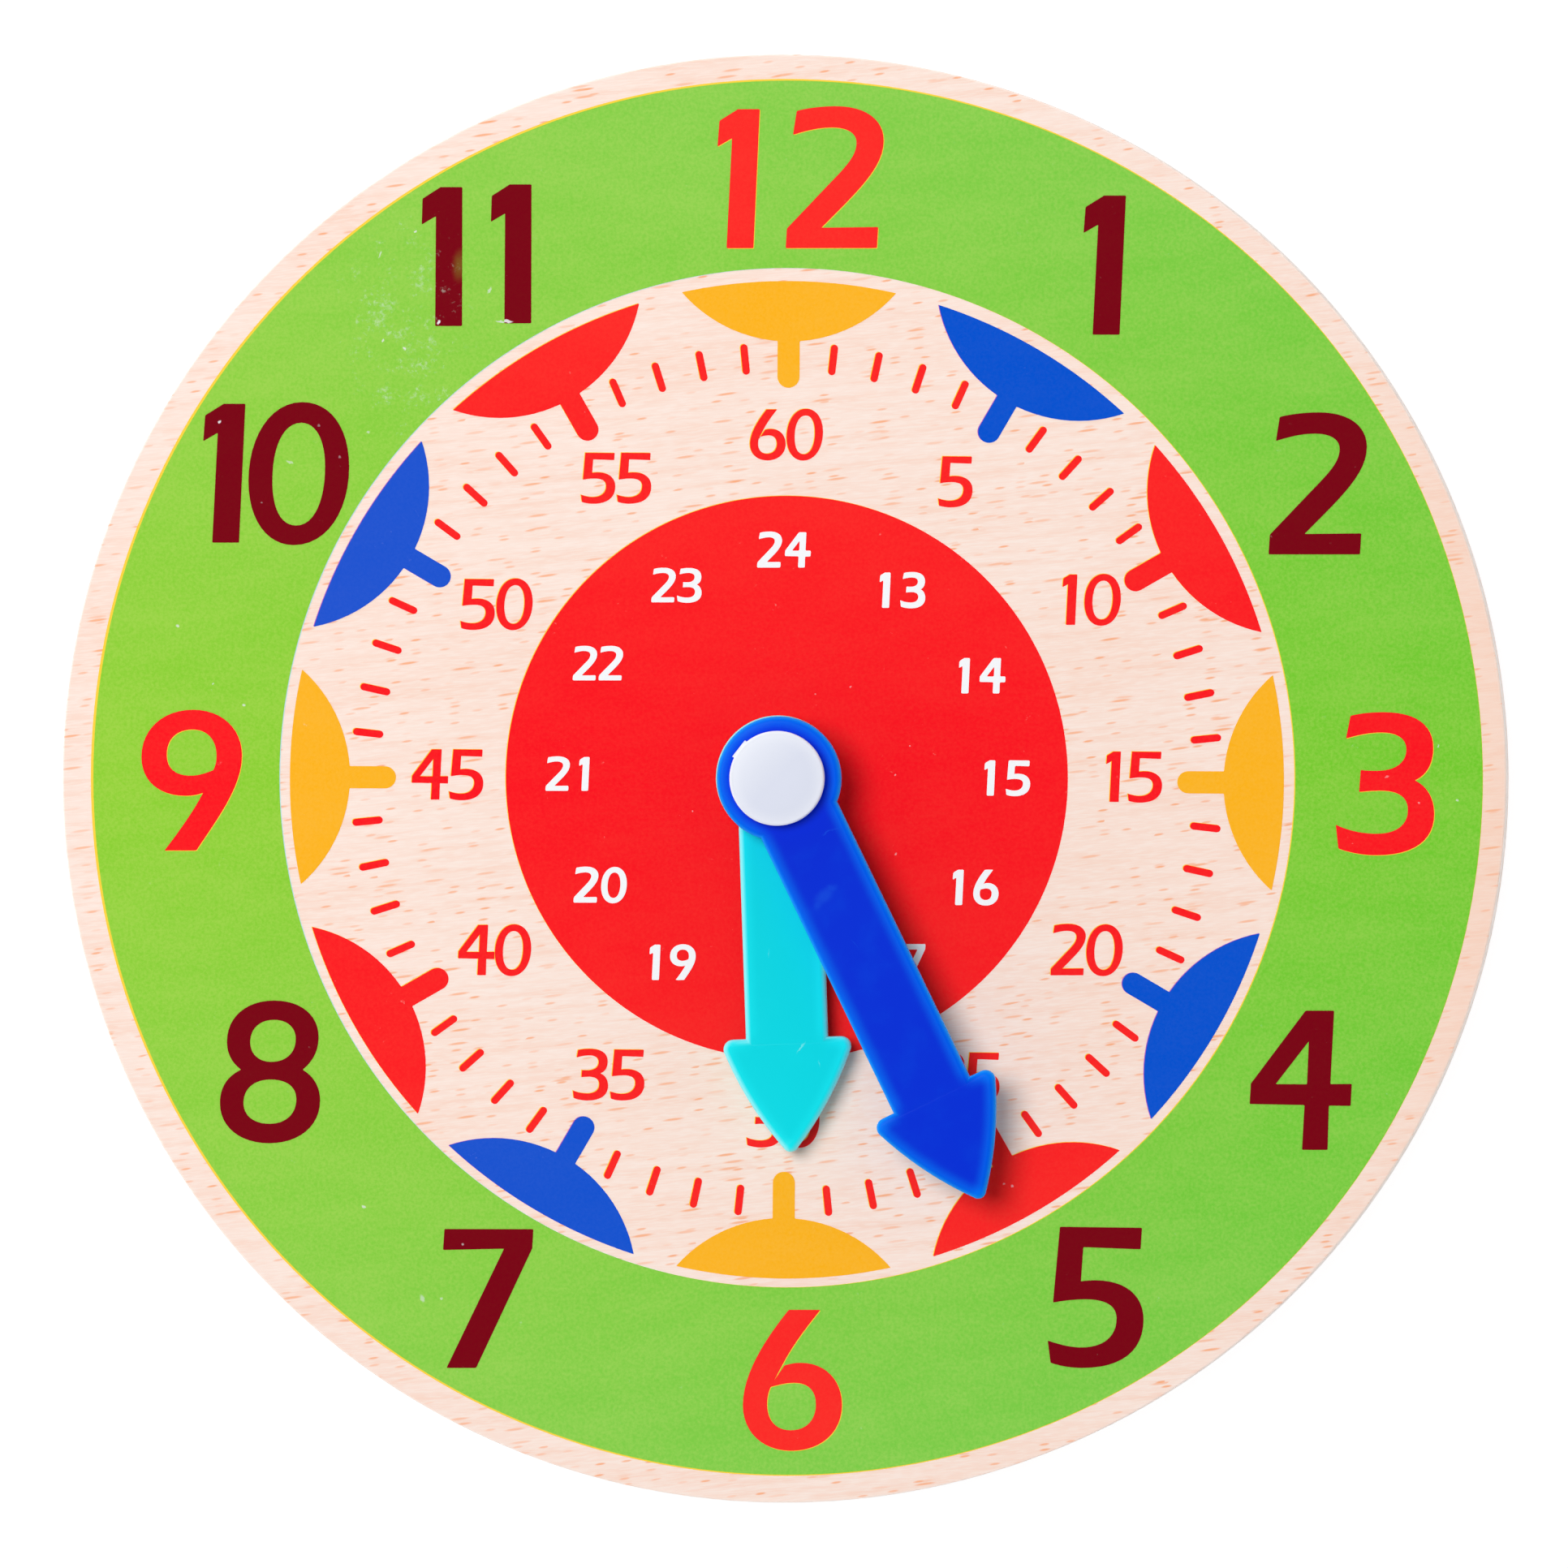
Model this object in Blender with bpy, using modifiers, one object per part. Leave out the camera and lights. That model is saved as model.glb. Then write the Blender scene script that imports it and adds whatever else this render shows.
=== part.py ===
"""Wooden teaching clock: a printed plywood disc with two plastic hands on a snap rivet.

The clock lies on its back with the dial up. +Z points out of the dial and +Y at the twelve.
The origin is the middle of the back face, on the axis that both hands turn on.
Every height is counted from the back face, every radius from that axis.
"""

import math

import bmesh
import bpy
from mathutils import Vector
from mathutils.geometry import interpolate_bezier

MM = 0.001

# Fits shared by all pieces
SEAT_GAP = 0.3 * MM
RUNNING_FIT = 0.1 * MM
CUT_OVERRUN = 1.0 * MM
WELD_DISTANCE = 0.002 * MM

# Board: a disc of three plies
BOARD_DIAMETER = 150.0 * MM
BOARD_THICKNESS = 5.0 * MM
VENEER_THICKNESS = 0.7 * MM
ARRIS_ROUND = 0.4 * MM

# Print on the dial
PRINT_THICKNESS = 0.1 * MM
HOUR_BAND_WIDTH = 19.5 * MM
BARE_RIM_WIDTH = 2.8 * MM
MINUTE_RING_WIDTH = 11.26 * MM
MARKER_MARGIN = 1.04 * MM
MARKER_LENS_DEPTH = 6.27 * MM
MARKER_LENGTH = 11.2 * MM
MARKER_STEM_WIDTH = 2.3 * MM
MARKER_HALF_ANGLE = math.radians(12.46)
NUMERAL_HEIGHT = 14.5 * MM

# Washers under and between the hands
WASHER_RADIUS = 5.5 * MM
WASHER_THICKNESS = 0.6 * MM

# Hands
HAND_THICKNESS = 1.9 * MM
HAND_EDGE_ROUND = 0.6 * MM
SHAFT_WIDTH = 8.4 * MM
HUB_FLARE = 2.25 * MM
HOUR_HAND_SHOULDER = 26.8 * MM
MINUTE_HAND_SHOULDER = 36.3 * MM
HEAD_LENGTH = 12.6 * MM
HEAD_BARB = 3.22 * MM
HEAD_BULGE = 0.45 * MM
BARB_ROUND = 1.03 * MM
TIP_ROUND = 0.8 * MM
HOUR_HAND_ANGLE = math.radians(178.05)
MINUTE_HAND_ANGLE = math.radians(154.15)

# Snap rivet: the cap and its hollow barrel, from the front
BARREL_RADIUS = 2.5 * MM
BARREL_WALL = 1.0 * MM
CAP_RADIUS = 4.9 * MM
CAP_EDGE = 0.95 * MM
CAP_DOME = 0.45 * MM
CAP_ROOF = 1.9 * MM

# Snap rivet: the lock with its split pin, from the back
LOCK_RADIUS = 6.0 * MM
LOCK_THICKNESS = 1.1 * MM
LOCK_EDGE_ROUND = 0.3 * MM
LOCK_RECESS = 0.2 * MM
PIN_FIT = 0.1 * MM
PIN_TOP_CLEARANCE = 0.9 * MM
PIN_TIP_LENGTH = 1.0 * MM
PIN_TIP_TAPER = 0.3 * MM
PIN_SLOT_WIDTH = 0.6 * MM
PIN_SLOT_FOOT = 2.0 * MM
BARB_PROUD = 0.25 * MM
BARB_UNDERCUT = 0.3 * MM
GROOVE_CLEARANCE = 0.2 * MM
GROOVE_PLAY = 0.3 * MM

# Facets
BOARD_STEPS = 80
RIVET_STEPS = 40
BORE_STEPS = 48
CURVE_STEPS = 5
FILLET_STEPS = 4
SHARP_ANGLE = math.radians(35)

# Heights that follow from the stack of pieces
BOARD_RADIUS = BOARD_DIAMETER / 2
CORE_BOTTOM = VENEER_THICKNESS + SEAT_GAP
CORE_TOP = BOARD_THICKNESS - VENEER_THICKNESS - SEAT_GAP
PRINT_BOTTOM = BOARD_THICKNESS + SEAT_GAP
NUMERAL_BOTTOM = PRINT_BOTTOM + PRINT_THICKNESS + SEAT_GAP
BASE_WASHER_BOTTOM = BOARD_THICKNESS + SEAT_GAP
HOUR_HAND_BOTTOM = BASE_WASHER_BOTTOM + WASHER_THICKNESS + SEAT_GAP
MIDDLE_WASHER_BOTTOM = HOUR_HAND_BOTTOM + HAND_THICKNESS + SEAT_GAP
MINUTE_HAND_BOTTOM = MIDDLE_WASHER_BOTTOM + WASHER_THICKNESS + SEAT_GAP
CAP_BOTTOM = MINUTE_HAND_BOTTOM + HAND_THICKNESS + SEAT_GAP
LOCK_TOP = LOCK_RECESS + LOCK_THICKNESS
COUNTERBORE_DEPTH = LOCK_TOP + SEAT_GAP

# Radii that follow from the pieces they fit
BORE_RADIUS = BARREL_RADIUS + RUNNING_FIT
COUNTERBORE_RADIUS = LOCK_RADIUS + SEAT_GAP
BAND_OUTER_RADIUS = BOARD_RADIUS - BARE_RIM_WIDTH
BAND_INNER_RADIUS = BAND_OUTER_RADIUS - HOUR_BAND_WIDTH
NUMERAL_RADIUS = (BAND_OUTER_RADIUS + BAND_INNER_RADIUS) / 2
MARKER_RADIUS = BAND_INNER_RADIUS - MARKER_MARGIN
CENTRE_DISC_RADIUS = MARKER_RADIUS - MARKER_LENGTH - MINUTE_RING_WIDTH
HUB_RADIUS = SHAFT_WIDTH / 2 + HUB_FLARE

# Where each numeral's middle lies, east and north, in shares of the numeral circle's radius
NUMERAL_PLACE_SHARES = {
    1: (0.531, 0.855), 2: (0.885, 0.489), 3: (0.997, -0.010),
    4: (0.855, -0.503), 5: (0.516, -0.864), 6: (0.009, -1.001),
    7: (-0.497, -0.865), 8: (-0.861, -0.488), 9: (-0.991, -0.003),
    10: (-0.851, 0.508), 11: (-0.515, 0.871), 12: (0.026, 1.000),
}

# How far the second digit starts from the first, in shares of the numeral's height
SECOND_DIGIT_SHARES = {10: 0.345, 11: 0.520, 12: 0.492}

# The digits' outlines, in shares of their height, from their left edge and their foot.
# A pair is a corner. Six numbers are a Bezier curve: two handles and its end.
DIGIT_SHARES = {
    "0": [
        [(0.391, 1.012),
         (0.158, 1.012, 0.000, 0.758, 0.000, 0.442),
         (0.000, 0.164, 0.135, -0.018, 0.327, -0.018),
         (0.571, -0.018, 0.729, 0.232, 0.729, 0.547),
         (0.729, 0.826, 0.594, 1.012, 0.391, 1.012)],
        [(0.383, 0.863),
         (0.489, 0.863, 0.555, 0.743, 0.555, 0.547),
         (0.555, 0.314, 0.481, 0.123, 0.346, 0.123),
         (0.233, 0.123, 0.173, 0.247, 0.173, 0.442),
         (0.173, 0.683, 0.248, 0.863, 0.383, 0.863)],
    ],
    "1": [
        [(0.148, 1.000), (0.305, 1.000), (0.259, 0.000), (0.065, 0.000),
         (0.105, 0.791), (0.000, 0.731), (0.014, 0.917)],
    ],
    "2": [
        [(0.080, 0.987),
         (0.173, 1.011, 0.271, 1.020, 0.364, 1.020),
         (0.582, 1.020, 0.707, 0.920, 0.707, 0.773),
         (0.707, 0.582, 0.529, 0.418, 0.258, 0.147),
         (0.667, 0.151), (0.658, 0.000), (0.000, 0.000), (0.009, 0.142), (0.302, 0.449),
         (0.431, 0.582, 0.513, 0.662, 0.511, 0.760),
         (0.509, 0.831, 0.440, 0.867, 0.333, 0.867),
         (0.236, 0.867, 0.147, 0.844, 0.053, 0.815)],
    ],
    "3": [
        [(0.106, 0.987),
         (0.182, 1.006, 0.263, 1.013, 0.345, 1.013),
         (0.575, 1.013, 0.701, 0.924, 0.701, 0.757),
         (0.701, 0.639, 0.649, 0.557, 0.568, 0.524),
         (0.657, 0.483, 0.708, 0.394, 0.708, 0.283),
         (0.708, 0.097, 0.567, -0.014, 0.293, -0.014),
         (0.197, -0.014, 0.100, 0.004, 0.019, 0.034),
         (0.000, 0.205),
         (0.085, 0.164, 0.189, 0.140, 0.293, 0.140),
         (0.427, 0.140, 0.519, 0.197, 0.519, 0.312),
         (0.519, 0.401, 0.453, 0.450, 0.323, 0.450),
         (0.271, 0.450, 0.219, 0.446, 0.168, 0.440),
         (0.180, 0.598),
         (0.226, 0.592, 0.263, 0.592, 0.297, 0.592),
         (0.427, 0.592, 0.508, 0.650, 0.508, 0.746),
         (0.508, 0.824, 0.441, 0.867, 0.330, 0.867),
         (0.241, 0.867, 0.160, 0.850, 0.074, 0.824)],
    ],
    "4": [
        [(0.403, 1.000), (0.608, 1.000), (0.581, 0.472), (0.735, 0.474), (0.727, 0.316),
         (0.570, 0.318), (0.561, 0.000), (0.377, 0.000), (0.395, 0.322), (0.000, 0.329),
         (0.009, 0.476)],
        [(0.426, 0.780), (0.413, 0.471), (0.187, 0.472)],
    ],
    "5": [
        [(0.088, 1.000), (0.679, 0.994), (0.669, 0.839), (0.256, 0.854), (0.239, 0.608),
         (0.270, 0.613, 0.305, 0.616, 0.342, 0.616),
         (0.558, 0.616, 0.690, 0.510, 0.690, 0.334),
         (0.690, 0.107, 0.529, -0.014, 0.250, -0.014),
         (0.163, -0.014, 0.086, -0.001, 0.020, 0.023),
         (0.000, 0.182),
         (0.104, 0.147, 0.177, 0.133, 0.243, 0.133),
         (0.397, 0.133, 0.496, 0.209, 0.496, 0.341),
         (0.496, 0.429, 0.426, 0.479, 0.272, 0.479),
         (0.192, 0.479, 0.111, 0.469, 0.038, 0.455)],
    ],
    "6": [
        [(0.331, 1.000), (0.559, 1.000),
         (0.452, 0.866, 0.363, 0.751, 0.288, 0.610),
         (0.225, 0.491), (0.300, 0.599),
         (0.337, 0.611, 0.377, 0.619, 0.418, 0.619),
         (0.600, 0.619, 0.715, 0.491, 0.715, 0.316),
         (0.715, 0.120, 0.563, -0.014, 0.348, -0.014),
         (0.140, -0.014, 0.000, 0.120, 0.000, 0.313),
         (0.000, 0.536, 0.155, 0.781, 0.331, 1.000)],
        [(0.201, 0.445),
         (0.259, 0.461, 0.314, 0.475, 0.370, 0.475),
         (0.474, 0.475, 0.527, 0.417, 0.527, 0.320),
         (0.527, 0.209, 0.459, 0.133, 0.344, 0.133),
         (0.236, 0.133, 0.175, 0.209, 0.175, 0.316),
         (0.175, 0.369, 0.184, 0.409, 0.201, 0.445)],
    ],
    "7": [
        [(0.010, 1.000), (0.653, 1.000), (0.645, 0.862), (0.239, 0.000), (0.025, 0.000),
         (0.441, 0.859), (0.000, 0.849)],
    ],
    "8": [
        [(0.392, 1.014),
         (0.587, 1.014, 0.714, 0.909, 0.714, 0.752),
         (0.714, 0.647, 0.669, 0.572, 0.598, 0.516),
         (0.676, 0.472, 0.725, 0.393, 0.725, 0.296),
         (0.725, 0.109, 0.572, -0.014, 0.355, -0.014),
         (0.146, -0.014, 0.000, 0.102, 0.000, 0.274),
         (0.000, 0.393, 0.056, 0.468, 0.153, 0.516),
         (0.086, 0.565, 0.051, 0.632, 0.051, 0.718),
         (0.051, 0.894, 0.191, 1.014, 0.392, 1.014)],
        [(0.392, 0.875),
         (0.490, 0.875, 0.549, 0.819, 0.549, 0.737),
         (0.549, 0.640, 0.482, 0.572, 0.370, 0.572),
         (0.280, 0.572, 0.219, 0.629, 0.219, 0.714),
         (0.219, 0.812, 0.288, 0.875, 0.392, 0.875)],
        [(0.366, 0.445),
         (0.490, 0.445, 0.553, 0.389, 0.553, 0.303),
         (0.553, 0.199, 0.478, 0.126, 0.359, 0.126),
         (0.239, 0.126, 0.170, 0.188, 0.170, 0.277),
         (0.170, 0.378, 0.247, 0.445, 0.366, 0.445)],
    ],
    "9": [
        [(0.166, 0.000), (0.397, 0.000),
         (0.542, 0.219, 0.728, 0.457, 0.728, 0.684),
         (0.728, 0.882, 0.579, 1.014, 0.375, 1.014),
         (0.155, 1.014, 0.000, 0.874, 0.000, 0.673),
         (0.000, 0.502, 0.125, 0.394, 0.319, 0.394),
         (0.363, 0.394, 0.408, 0.401, 0.447, 0.416),
         (0.378, 0.286, 0.274, 0.137, 0.166, 0.000)],
        [(0.521, 0.579),
         (0.536, 0.610, 0.544, 0.643, 0.544, 0.681),
         (0.544, 0.800, 0.475, 0.872, 0.371, 0.872),
         (0.252, 0.872, 0.183, 0.800, 0.183, 0.692),
         (0.183, 0.591, 0.244, 0.539, 0.356, 0.539),
         (0.415, 0.539, 0.468, 0.558, 0.521, 0.579)],
    ],
}

# Colours as linear red, green and blue, then roughness; nothing on the clock is metal
FINISHES = {
    "beech_veneer": ((0.93, 0.76, 0.64), 0.6),
    "plywood_core": ((0.78, 0.60, 0.42), 0.75),
    "green_ink": ((0.27, 0.64, 0.045), 0.5),
    "red_ink": ((0.98, 0.025, 0.02), 0.5),
    "maroon_ink": ((0.19, 0.001, 0.006), 0.5),
    "orange_ink": ((1.0, 0.46, 0.012), 0.5),
    "blue_ink": ((0.012, 0.075, 0.62), 0.5),
    "turquoise_plastic": ((0.0, 0.73, 0.78), 0.4),
    "blue_plastic": ((0.0, 0.035, 0.68), 0.4),
    "white_plastic": ((0.82, 0.83, 0.88), 0.35),
}


def new_collection(name):
    """A collection of that name, linked to the scene."""
    collection = bpy.data.collections.new(name)
    bpy.context.scene.collection.children.link(collection)
    return collection


def finish(name):
    """The material of that name, made on first use."""
    found = bpy.data.materials.get(name)
    if found:
        return found
    colour, roughness = FINISHES[name]
    material = bpy.data.materials.new(name)
    material.use_nodes = True
    shader = material.node_tree.nodes["Principled BSDF"]
    shader.inputs["Base Color"].default_value = (*colour, 1)
    shader.inputs["Roughness"].default_value = roughness
    shader.inputs["Metallic"].default_value = 0
    material.diffuse_color = (*colour, 1)
    return material


def settled(scratch, name, finish_name, collection):
    """A plain mesh object made from what the scratch object looks like now, which it replaces."""
    graph = bpy.context.evaluated_depsgraph_get()
    mesh = bpy.data.meshes.new_from_object(scratch.evaluated_get(graph))
    mesh.name = name
    solid = bmesh.new()
    solid.from_mesh(mesh)
    bmesh.ops.remove_doubles(solid, verts=solid.verts, dist=WELD_DISTANCE)
    solid.to_mesh(mesh)
    solid.free()
    mesh.shade_smooth()
    mesh.set_sharp_from_angle(angle=SHARP_ANGLE)
    mesh.materials.clear()
    mesh.materials.append(finish(finish_name))
    piece = bpy.data.objects.new(name, mesh)
    piece.matrix_world = scratch.matrix_world
    collection.objects.link(piece)
    bpy.data.objects.remove(scratch)
    return piece


def turned(name, profile, steps, finish_name, collection, closed=True):
    """A solid of revolution about Z. The profile runs down its outer side, as (radius, height)."""
    mesh = bpy.data.meshes.new(name + "_profile")
    edges = [(k, k + 1) for k in range(len(profile) - 1)]
    if closed:
        edges.append((len(profile) - 1, 0))
    mesh.from_pydata([(radius, 0, height) for radius, height in profile], edges, [])
    scratch = bpy.data.objects.new(name + "_profile", mesh)
    collection.objects.link(scratch)
    screw = scratch.modifiers.new("Turn", "SCREW")
    screw.axis = "Z"
    screw.steps = steps
    screw.render_steps = steps
    screw.use_merge_vertices = True
    screw.merge_threshold = WELD_DISTANCE
    bpy.context.view_layer.update()
    return settled(scratch, name, finish_name, collection)


def flat(name, contours, bottom, thickness, finish_name, collection, edge_round=0):
    """A flat solid from closed outlines, rounded along its edges if asked, with its foot at bottom."""
    curve = bpy.data.curves.new(name + "_outline", "CURVE")
    curve.dimensions = "2D"
    curve.fill_mode = "BOTH"
    curve.extrude = thickness / 2 - edge_round
    curve.bevel_depth = edge_round
    curve.bevel_resolution = 1
    curve.offset = -edge_round
    for contour in contours:
        spline = curve.splines.new("POLY")
        spline.points.add(len(contour) - 1)
        for point, place in zip(spline.points, contour):
            point.co = (place[0], place[1], 0, 1)
        spline.use_cyclic_u = True
    scratch = bpy.data.objects.new(name + "_outline", curve)
    scratch.location.z = bottom + thickness / 2
    collection.objects.link(scratch)
    bpy.context.view_layer.update()
    return settled(scratch, name, finish_name, collection)


def cut(piece, cutter):
    """The cutter's volume taken out of the piece."""
    boolean = piece.modifiers.new("Cut " + cutter.name, "BOOLEAN")
    boolean.operation = "DIFFERENCE"
    boolean.solver = "EXACT"
    boolean.object = cutter


def join_cap_faces(piece, thickness):
    """The top and the foot of a flat solid become one face each, so that a cut stays clean."""
    solid = bmesh.new()
    solid.from_mesh(piece.data)
    caps = [face for face in solid.faces
            if all(abs(abs(corner.co.z) - thickness / 2) < WELD_DISTANCE for corner in face.verts)]
    bmesh.ops.dissolve_faces(solid, faces=caps)
    solid.to_mesh(piece.data)
    solid.free()


def as_cutter(piece):
    """A cutter shows as a wire and isn't part of the clock."""
    piece.display_type = "WIRE"
    piece.hide_render = True
    return piece


def arc(centre, radius, start, end, steps):
    """Points on a circle from one angle to another, both ends included."""
    angles = [start + (end - start) * k / steps for k in range(steps + 1)]
    return [centre + radius * Vector((math.cos(a), math.sin(a))) for a in angles]


def fillet(before, corner, after, radius):
    """Points that round a corner between two straight sides."""
    back = (before - corner).normalized()
    ahead = (after - corner).normalized()
    half_angle = back.angle(ahead) / 2
    centre = corner + (back + ahead).normalized() * (radius / math.sin(half_angle))
    first = corner + back * (radius / math.tan(half_angle)) - centre
    turn = (math.pi - 2 * half_angle) * (1 if back.cross(ahead) < 0 else -1)
    start = math.atan2(first.y, first.x)
    return arc(centre, radius, start, start + turn, FILLET_STEPS)


def bowed(start, end, bulge, steps):
    """Points between two ends that bow out to the right of the way from start to end."""
    along = end - start
    right = Vector((along.y, -along.x)).normalized()
    shares = [k / steps for k in range(1, steps)]
    return [start + along * share + right * (4 * bulge * share * (1 - share)) for share in shares]


# Board

def ply_profile(bottom, top, outer):
    """A ply's outline in section; the rivet's counterbore widens its bore up to a set height."""
    narrow, wide = BORE_RADIUS, COUNTERBORE_RADIUS
    if COUNTERBORE_DEPTH <= bottom:
        inner = [(narrow, bottom), (narrow, top)]
    elif COUNTERBORE_DEPTH >= top:
        inner = [(wide, bottom), (wide, top)]
    else:
        inner = [(wide, bottom), (wide, COUNTERBORE_DEPTH), (narrow, COUNTERBORE_DEPTH), (narrow, top)]
    return outer + inner


def build_board(collection):
    """Two beech veneers on a thicker core, with the outer arrises taken off."""
    inset = BOARD_RADIUS - ARRIS_ROUND
    face_outer = [(inset, BOARD_THICKNESS), (BOARD_RADIUS, BOARD_THICKNESS - ARRIS_ROUND),
                  (BOARD_RADIUS, CORE_TOP + SEAT_GAP)]
    core_outer = [(BOARD_RADIUS, CORE_TOP), (BOARD_RADIUS, CORE_BOTTOM)]
    back_outer = [(BOARD_RADIUS, VENEER_THICKNESS), (BOARD_RADIUS, ARRIS_ROUND), (inset, 0)]
    plies = [
        ("face_veneer", CORE_TOP + SEAT_GAP, BOARD_THICKNESS, face_outer, "beech_veneer"),
        ("plywood_core", CORE_BOTTOM, CORE_TOP, core_outer, "plywood_core"),
        ("back_veneer", 0, VENEER_THICKNESS, back_outer, "beech_veneer"),
    ]
    for name, bottom, top, outer, finish_name in plies:
        turned(name, ply_profile(bottom, top, outer), BOARD_STEPS, finish_name, collection)


# Print

def ring_profile(inner, outer, bottom, thickness):
    """The section of a flat ring."""
    top = bottom + thickness
    return [(outer, top), (outer, bottom), (inner, bottom), (inner, top)]


def marker_outline():
    """One five minute marker at the twelve: a lens on a round-ended stem that points inwards."""
    half_width = MARKER_RADIUS * math.sin(MARKER_HALF_ANGLE)
    chord = MARKER_RADIUS * math.cos(MARKER_HALF_ANGLE)
    sagitta = chord - (MARKER_RADIUS - MARKER_LENS_DEPTH)
    lens_radius = (half_width ** 2 + sagitta ** 2) / (2 * sagitta)
    lens_centre = Vector((0, MARKER_RADIUS - MARKER_LENS_DEPTH + lens_radius))
    stem = MARKER_STEM_WIDTH / 2
    stem_end = Vector((0, MARKER_RADIUS - MARKER_LENGTH + stem))
    corner_angle = math.atan2(chord - lens_centre.y, half_width)
    stem_angle = -math.acos(stem / lens_radius)
    points = arc(Vector((0, 0)), MARKER_RADIUS, math.pi / 2 + MARKER_HALF_ANGLE,
                 math.pi / 2 - MARKER_HALF_ANGLE, 2 * CURVE_STEPS)
    points += arc(lens_centre, lens_radius, corner_angle, stem_angle, CURVE_STEPS)[1:]
    points += arc(stem_end, stem, 0, -math.pi, 2 * FILLET_STEPS)
    points += arc(lens_centre, lens_radius, -math.pi - stem_angle, -math.pi - corner_angle, CURVE_STEPS)[:-1]
    return points


def digit_contours(digit, height):
    """A digit's outlines at a height, from its left edge and its foot."""
    contours = []
    for strokes in DIGIT_SHARES[digit]:
        points = [Vector(strokes[0])]
        for stroke in strokes[1:]:
            if len(stroke) == 2:
                points.append(Vector(stroke))
                continue
            handles = [Vector(stroke[0:2]), Vector(stroke[2:4]), Vector(stroke[4:6])]
            points += interpolate_bezier(points[-1], *handles, CURVE_STEPS + 1)[1:]
        scaled = [point * height for point in points]
        if (scaled[0] - scaled[-1]).length < WELD_DISTANCE:
            scaled.pop()
        contours.append(scaled)
    return contours


def build_numeral(hour, collection):
    """One hour's numeral, upright, with its middle at its place on the hour band."""
    text = str(hour)
    digits = [digit_contours(digit, NUMERAL_HEIGHT) for digit in text]
    starts = [0, SECOND_DIGIT_SHARES.get(hour, 0) * NUMERAL_HEIGHT]
    width = max(point.x for point in digits[-1][0]) + starts[len(text) - 1]
    east, north = NUMERAL_PLACE_SHARES[hour]
    left = east * NUMERAL_RADIUS - width / 2
    foot = north * NUMERAL_RADIUS - NUMERAL_HEIGHT / 2
    finish_name = "maroon_ink" if hour % 3 else "red_ink"
    names = ["_tens", "_units"] if len(text) == 2 else [""]
    for contours, start, ending in zip(digits, starts, names):
        place = Vector((left + start, foot))
        moved = [[point + place for point in contour] for contour in contours]
        flat("hour_numeral_" + text + ending, moved, NUMERAL_BOTTOM, PRINT_THICKNESS, finish_name, collection)


def build_print(collection):
    """The hour band, the centre disc, the markers and the hour numerals, as thin films of ink."""
    band = ring_profile(BAND_INNER_RADIUS, BAND_OUTER_RADIUS, PRINT_BOTTOM, PRINT_THICKNESS)
    turned("hour_band_print", band, BOARD_STEPS, "green_ink", collection)
    disc = ring_profile(WASHER_RADIUS + SEAT_GAP, CENTRE_DISC_RADIUS, PRINT_BOTTOM, PRINT_THICKNESS)
    turned("centre_disc_print", disc, BORE_STEPS, "red_ink", collection)
    marker_finishes = ["orange_ink", "blue_ink", "red_ink"]
    for hour in range(1, 13):
        name = "marker_print_{:02d}".format(hour)
        marker = flat(name, [marker_outline()], PRINT_BOTTOM, PRINT_THICKNESS, marker_finishes[hour % 3],
                      collection)
        marker.rotation_euler.z = -math.tau * hour / 12
        build_numeral(hour, collection)


# Hands and washers

def hand_outline(shoulder):
    """A hand that points along +Y: a round hub, a straight shaft and an arrow head with full sides."""
    half_shaft = SHAFT_WIDTH / 2
    half_head = half_shaft + HEAD_BARB
    apex = Vector((0, shoulder + HEAD_LENGTH))
    right_barb = Vector((half_head, shoulder))
    right_neck = Vector((half_shaft, shoulder))
    hub_angle = math.acos(half_shaft / HUB_RADIUS)
    barb = fillet(right_neck, right_barb, apex, BARB_ROUND)
    tip = fillet(right_barb, apex, Vector((-half_head, shoulder)), TIP_ROUND)
    right_side = [right_neck] + barb + bowed(barb[-1], tip[0], HEAD_BULGE, CURVE_STEPS)
    left_side = [Vector((-point.x, point.y)) for point in reversed(right_side)]
    hub = arc(Vector((0, 0)), HUB_RADIUS, math.pi - hub_angle, math.tau + hub_angle, 6 * CURVE_STEPS)
    return right_side + tip + left_side + hub


def build_hand(name, shoulder, bottom, angle, finish_name, collection, cutters):
    """One hand, with its origin on the axis, turned clockwise from the twelve by an angle."""
    hand = flat(name, [hand_outline(shoulder)], bottom, HAND_THICKNESS, finish_name, collection,
                edge_round=HAND_EDGE_ROUND)
    join_cap_faces(hand, HAND_THICKNESS)
    hand.rotation_euler.z = -angle
    top = bottom + HAND_THICKNESS
    bore_profile = [(0, top + CUT_OVERRUN), (BORE_RADIUS, top + CUT_OVERRUN),
                    (BORE_RADIUS, bottom - CUT_OVERRUN), (0, bottom - CUT_OVERRUN)]
    bore = turned(name + "_bore_cutter", bore_profile, BORE_STEPS, finish_name, cutters, closed=False)
    cut(hand, as_cutter(bore))
    return hand


def build_hands_and_washers(collection, cutters):
    """The stack on the barrel, from the board outwards."""
    for name, bottom in [("base_washer", BASE_WASHER_BOTTOM), ("middle_washer", MIDDLE_WASHER_BOTTOM)]:
        profile = ring_profile(BORE_RADIUS, WASHER_RADIUS, bottom, WASHER_THICKNESS)
        turned(name, profile, BORE_STEPS, "white_plastic", collection)
    build_hand("hour_hand", HOUR_HAND_SHOULDER, HOUR_HAND_BOTTOM, HOUR_HAND_ANGLE,
               "turquoise_plastic", collection, cutters)
    build_hand("minute_hand", MINUTE_HAND_SHOULDER, MINUTE_HAND_BOTTOM, MINUTE_HAND_ANGLE,
               "blue_plastic", collection, cutters)


# Snap rivet

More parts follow.
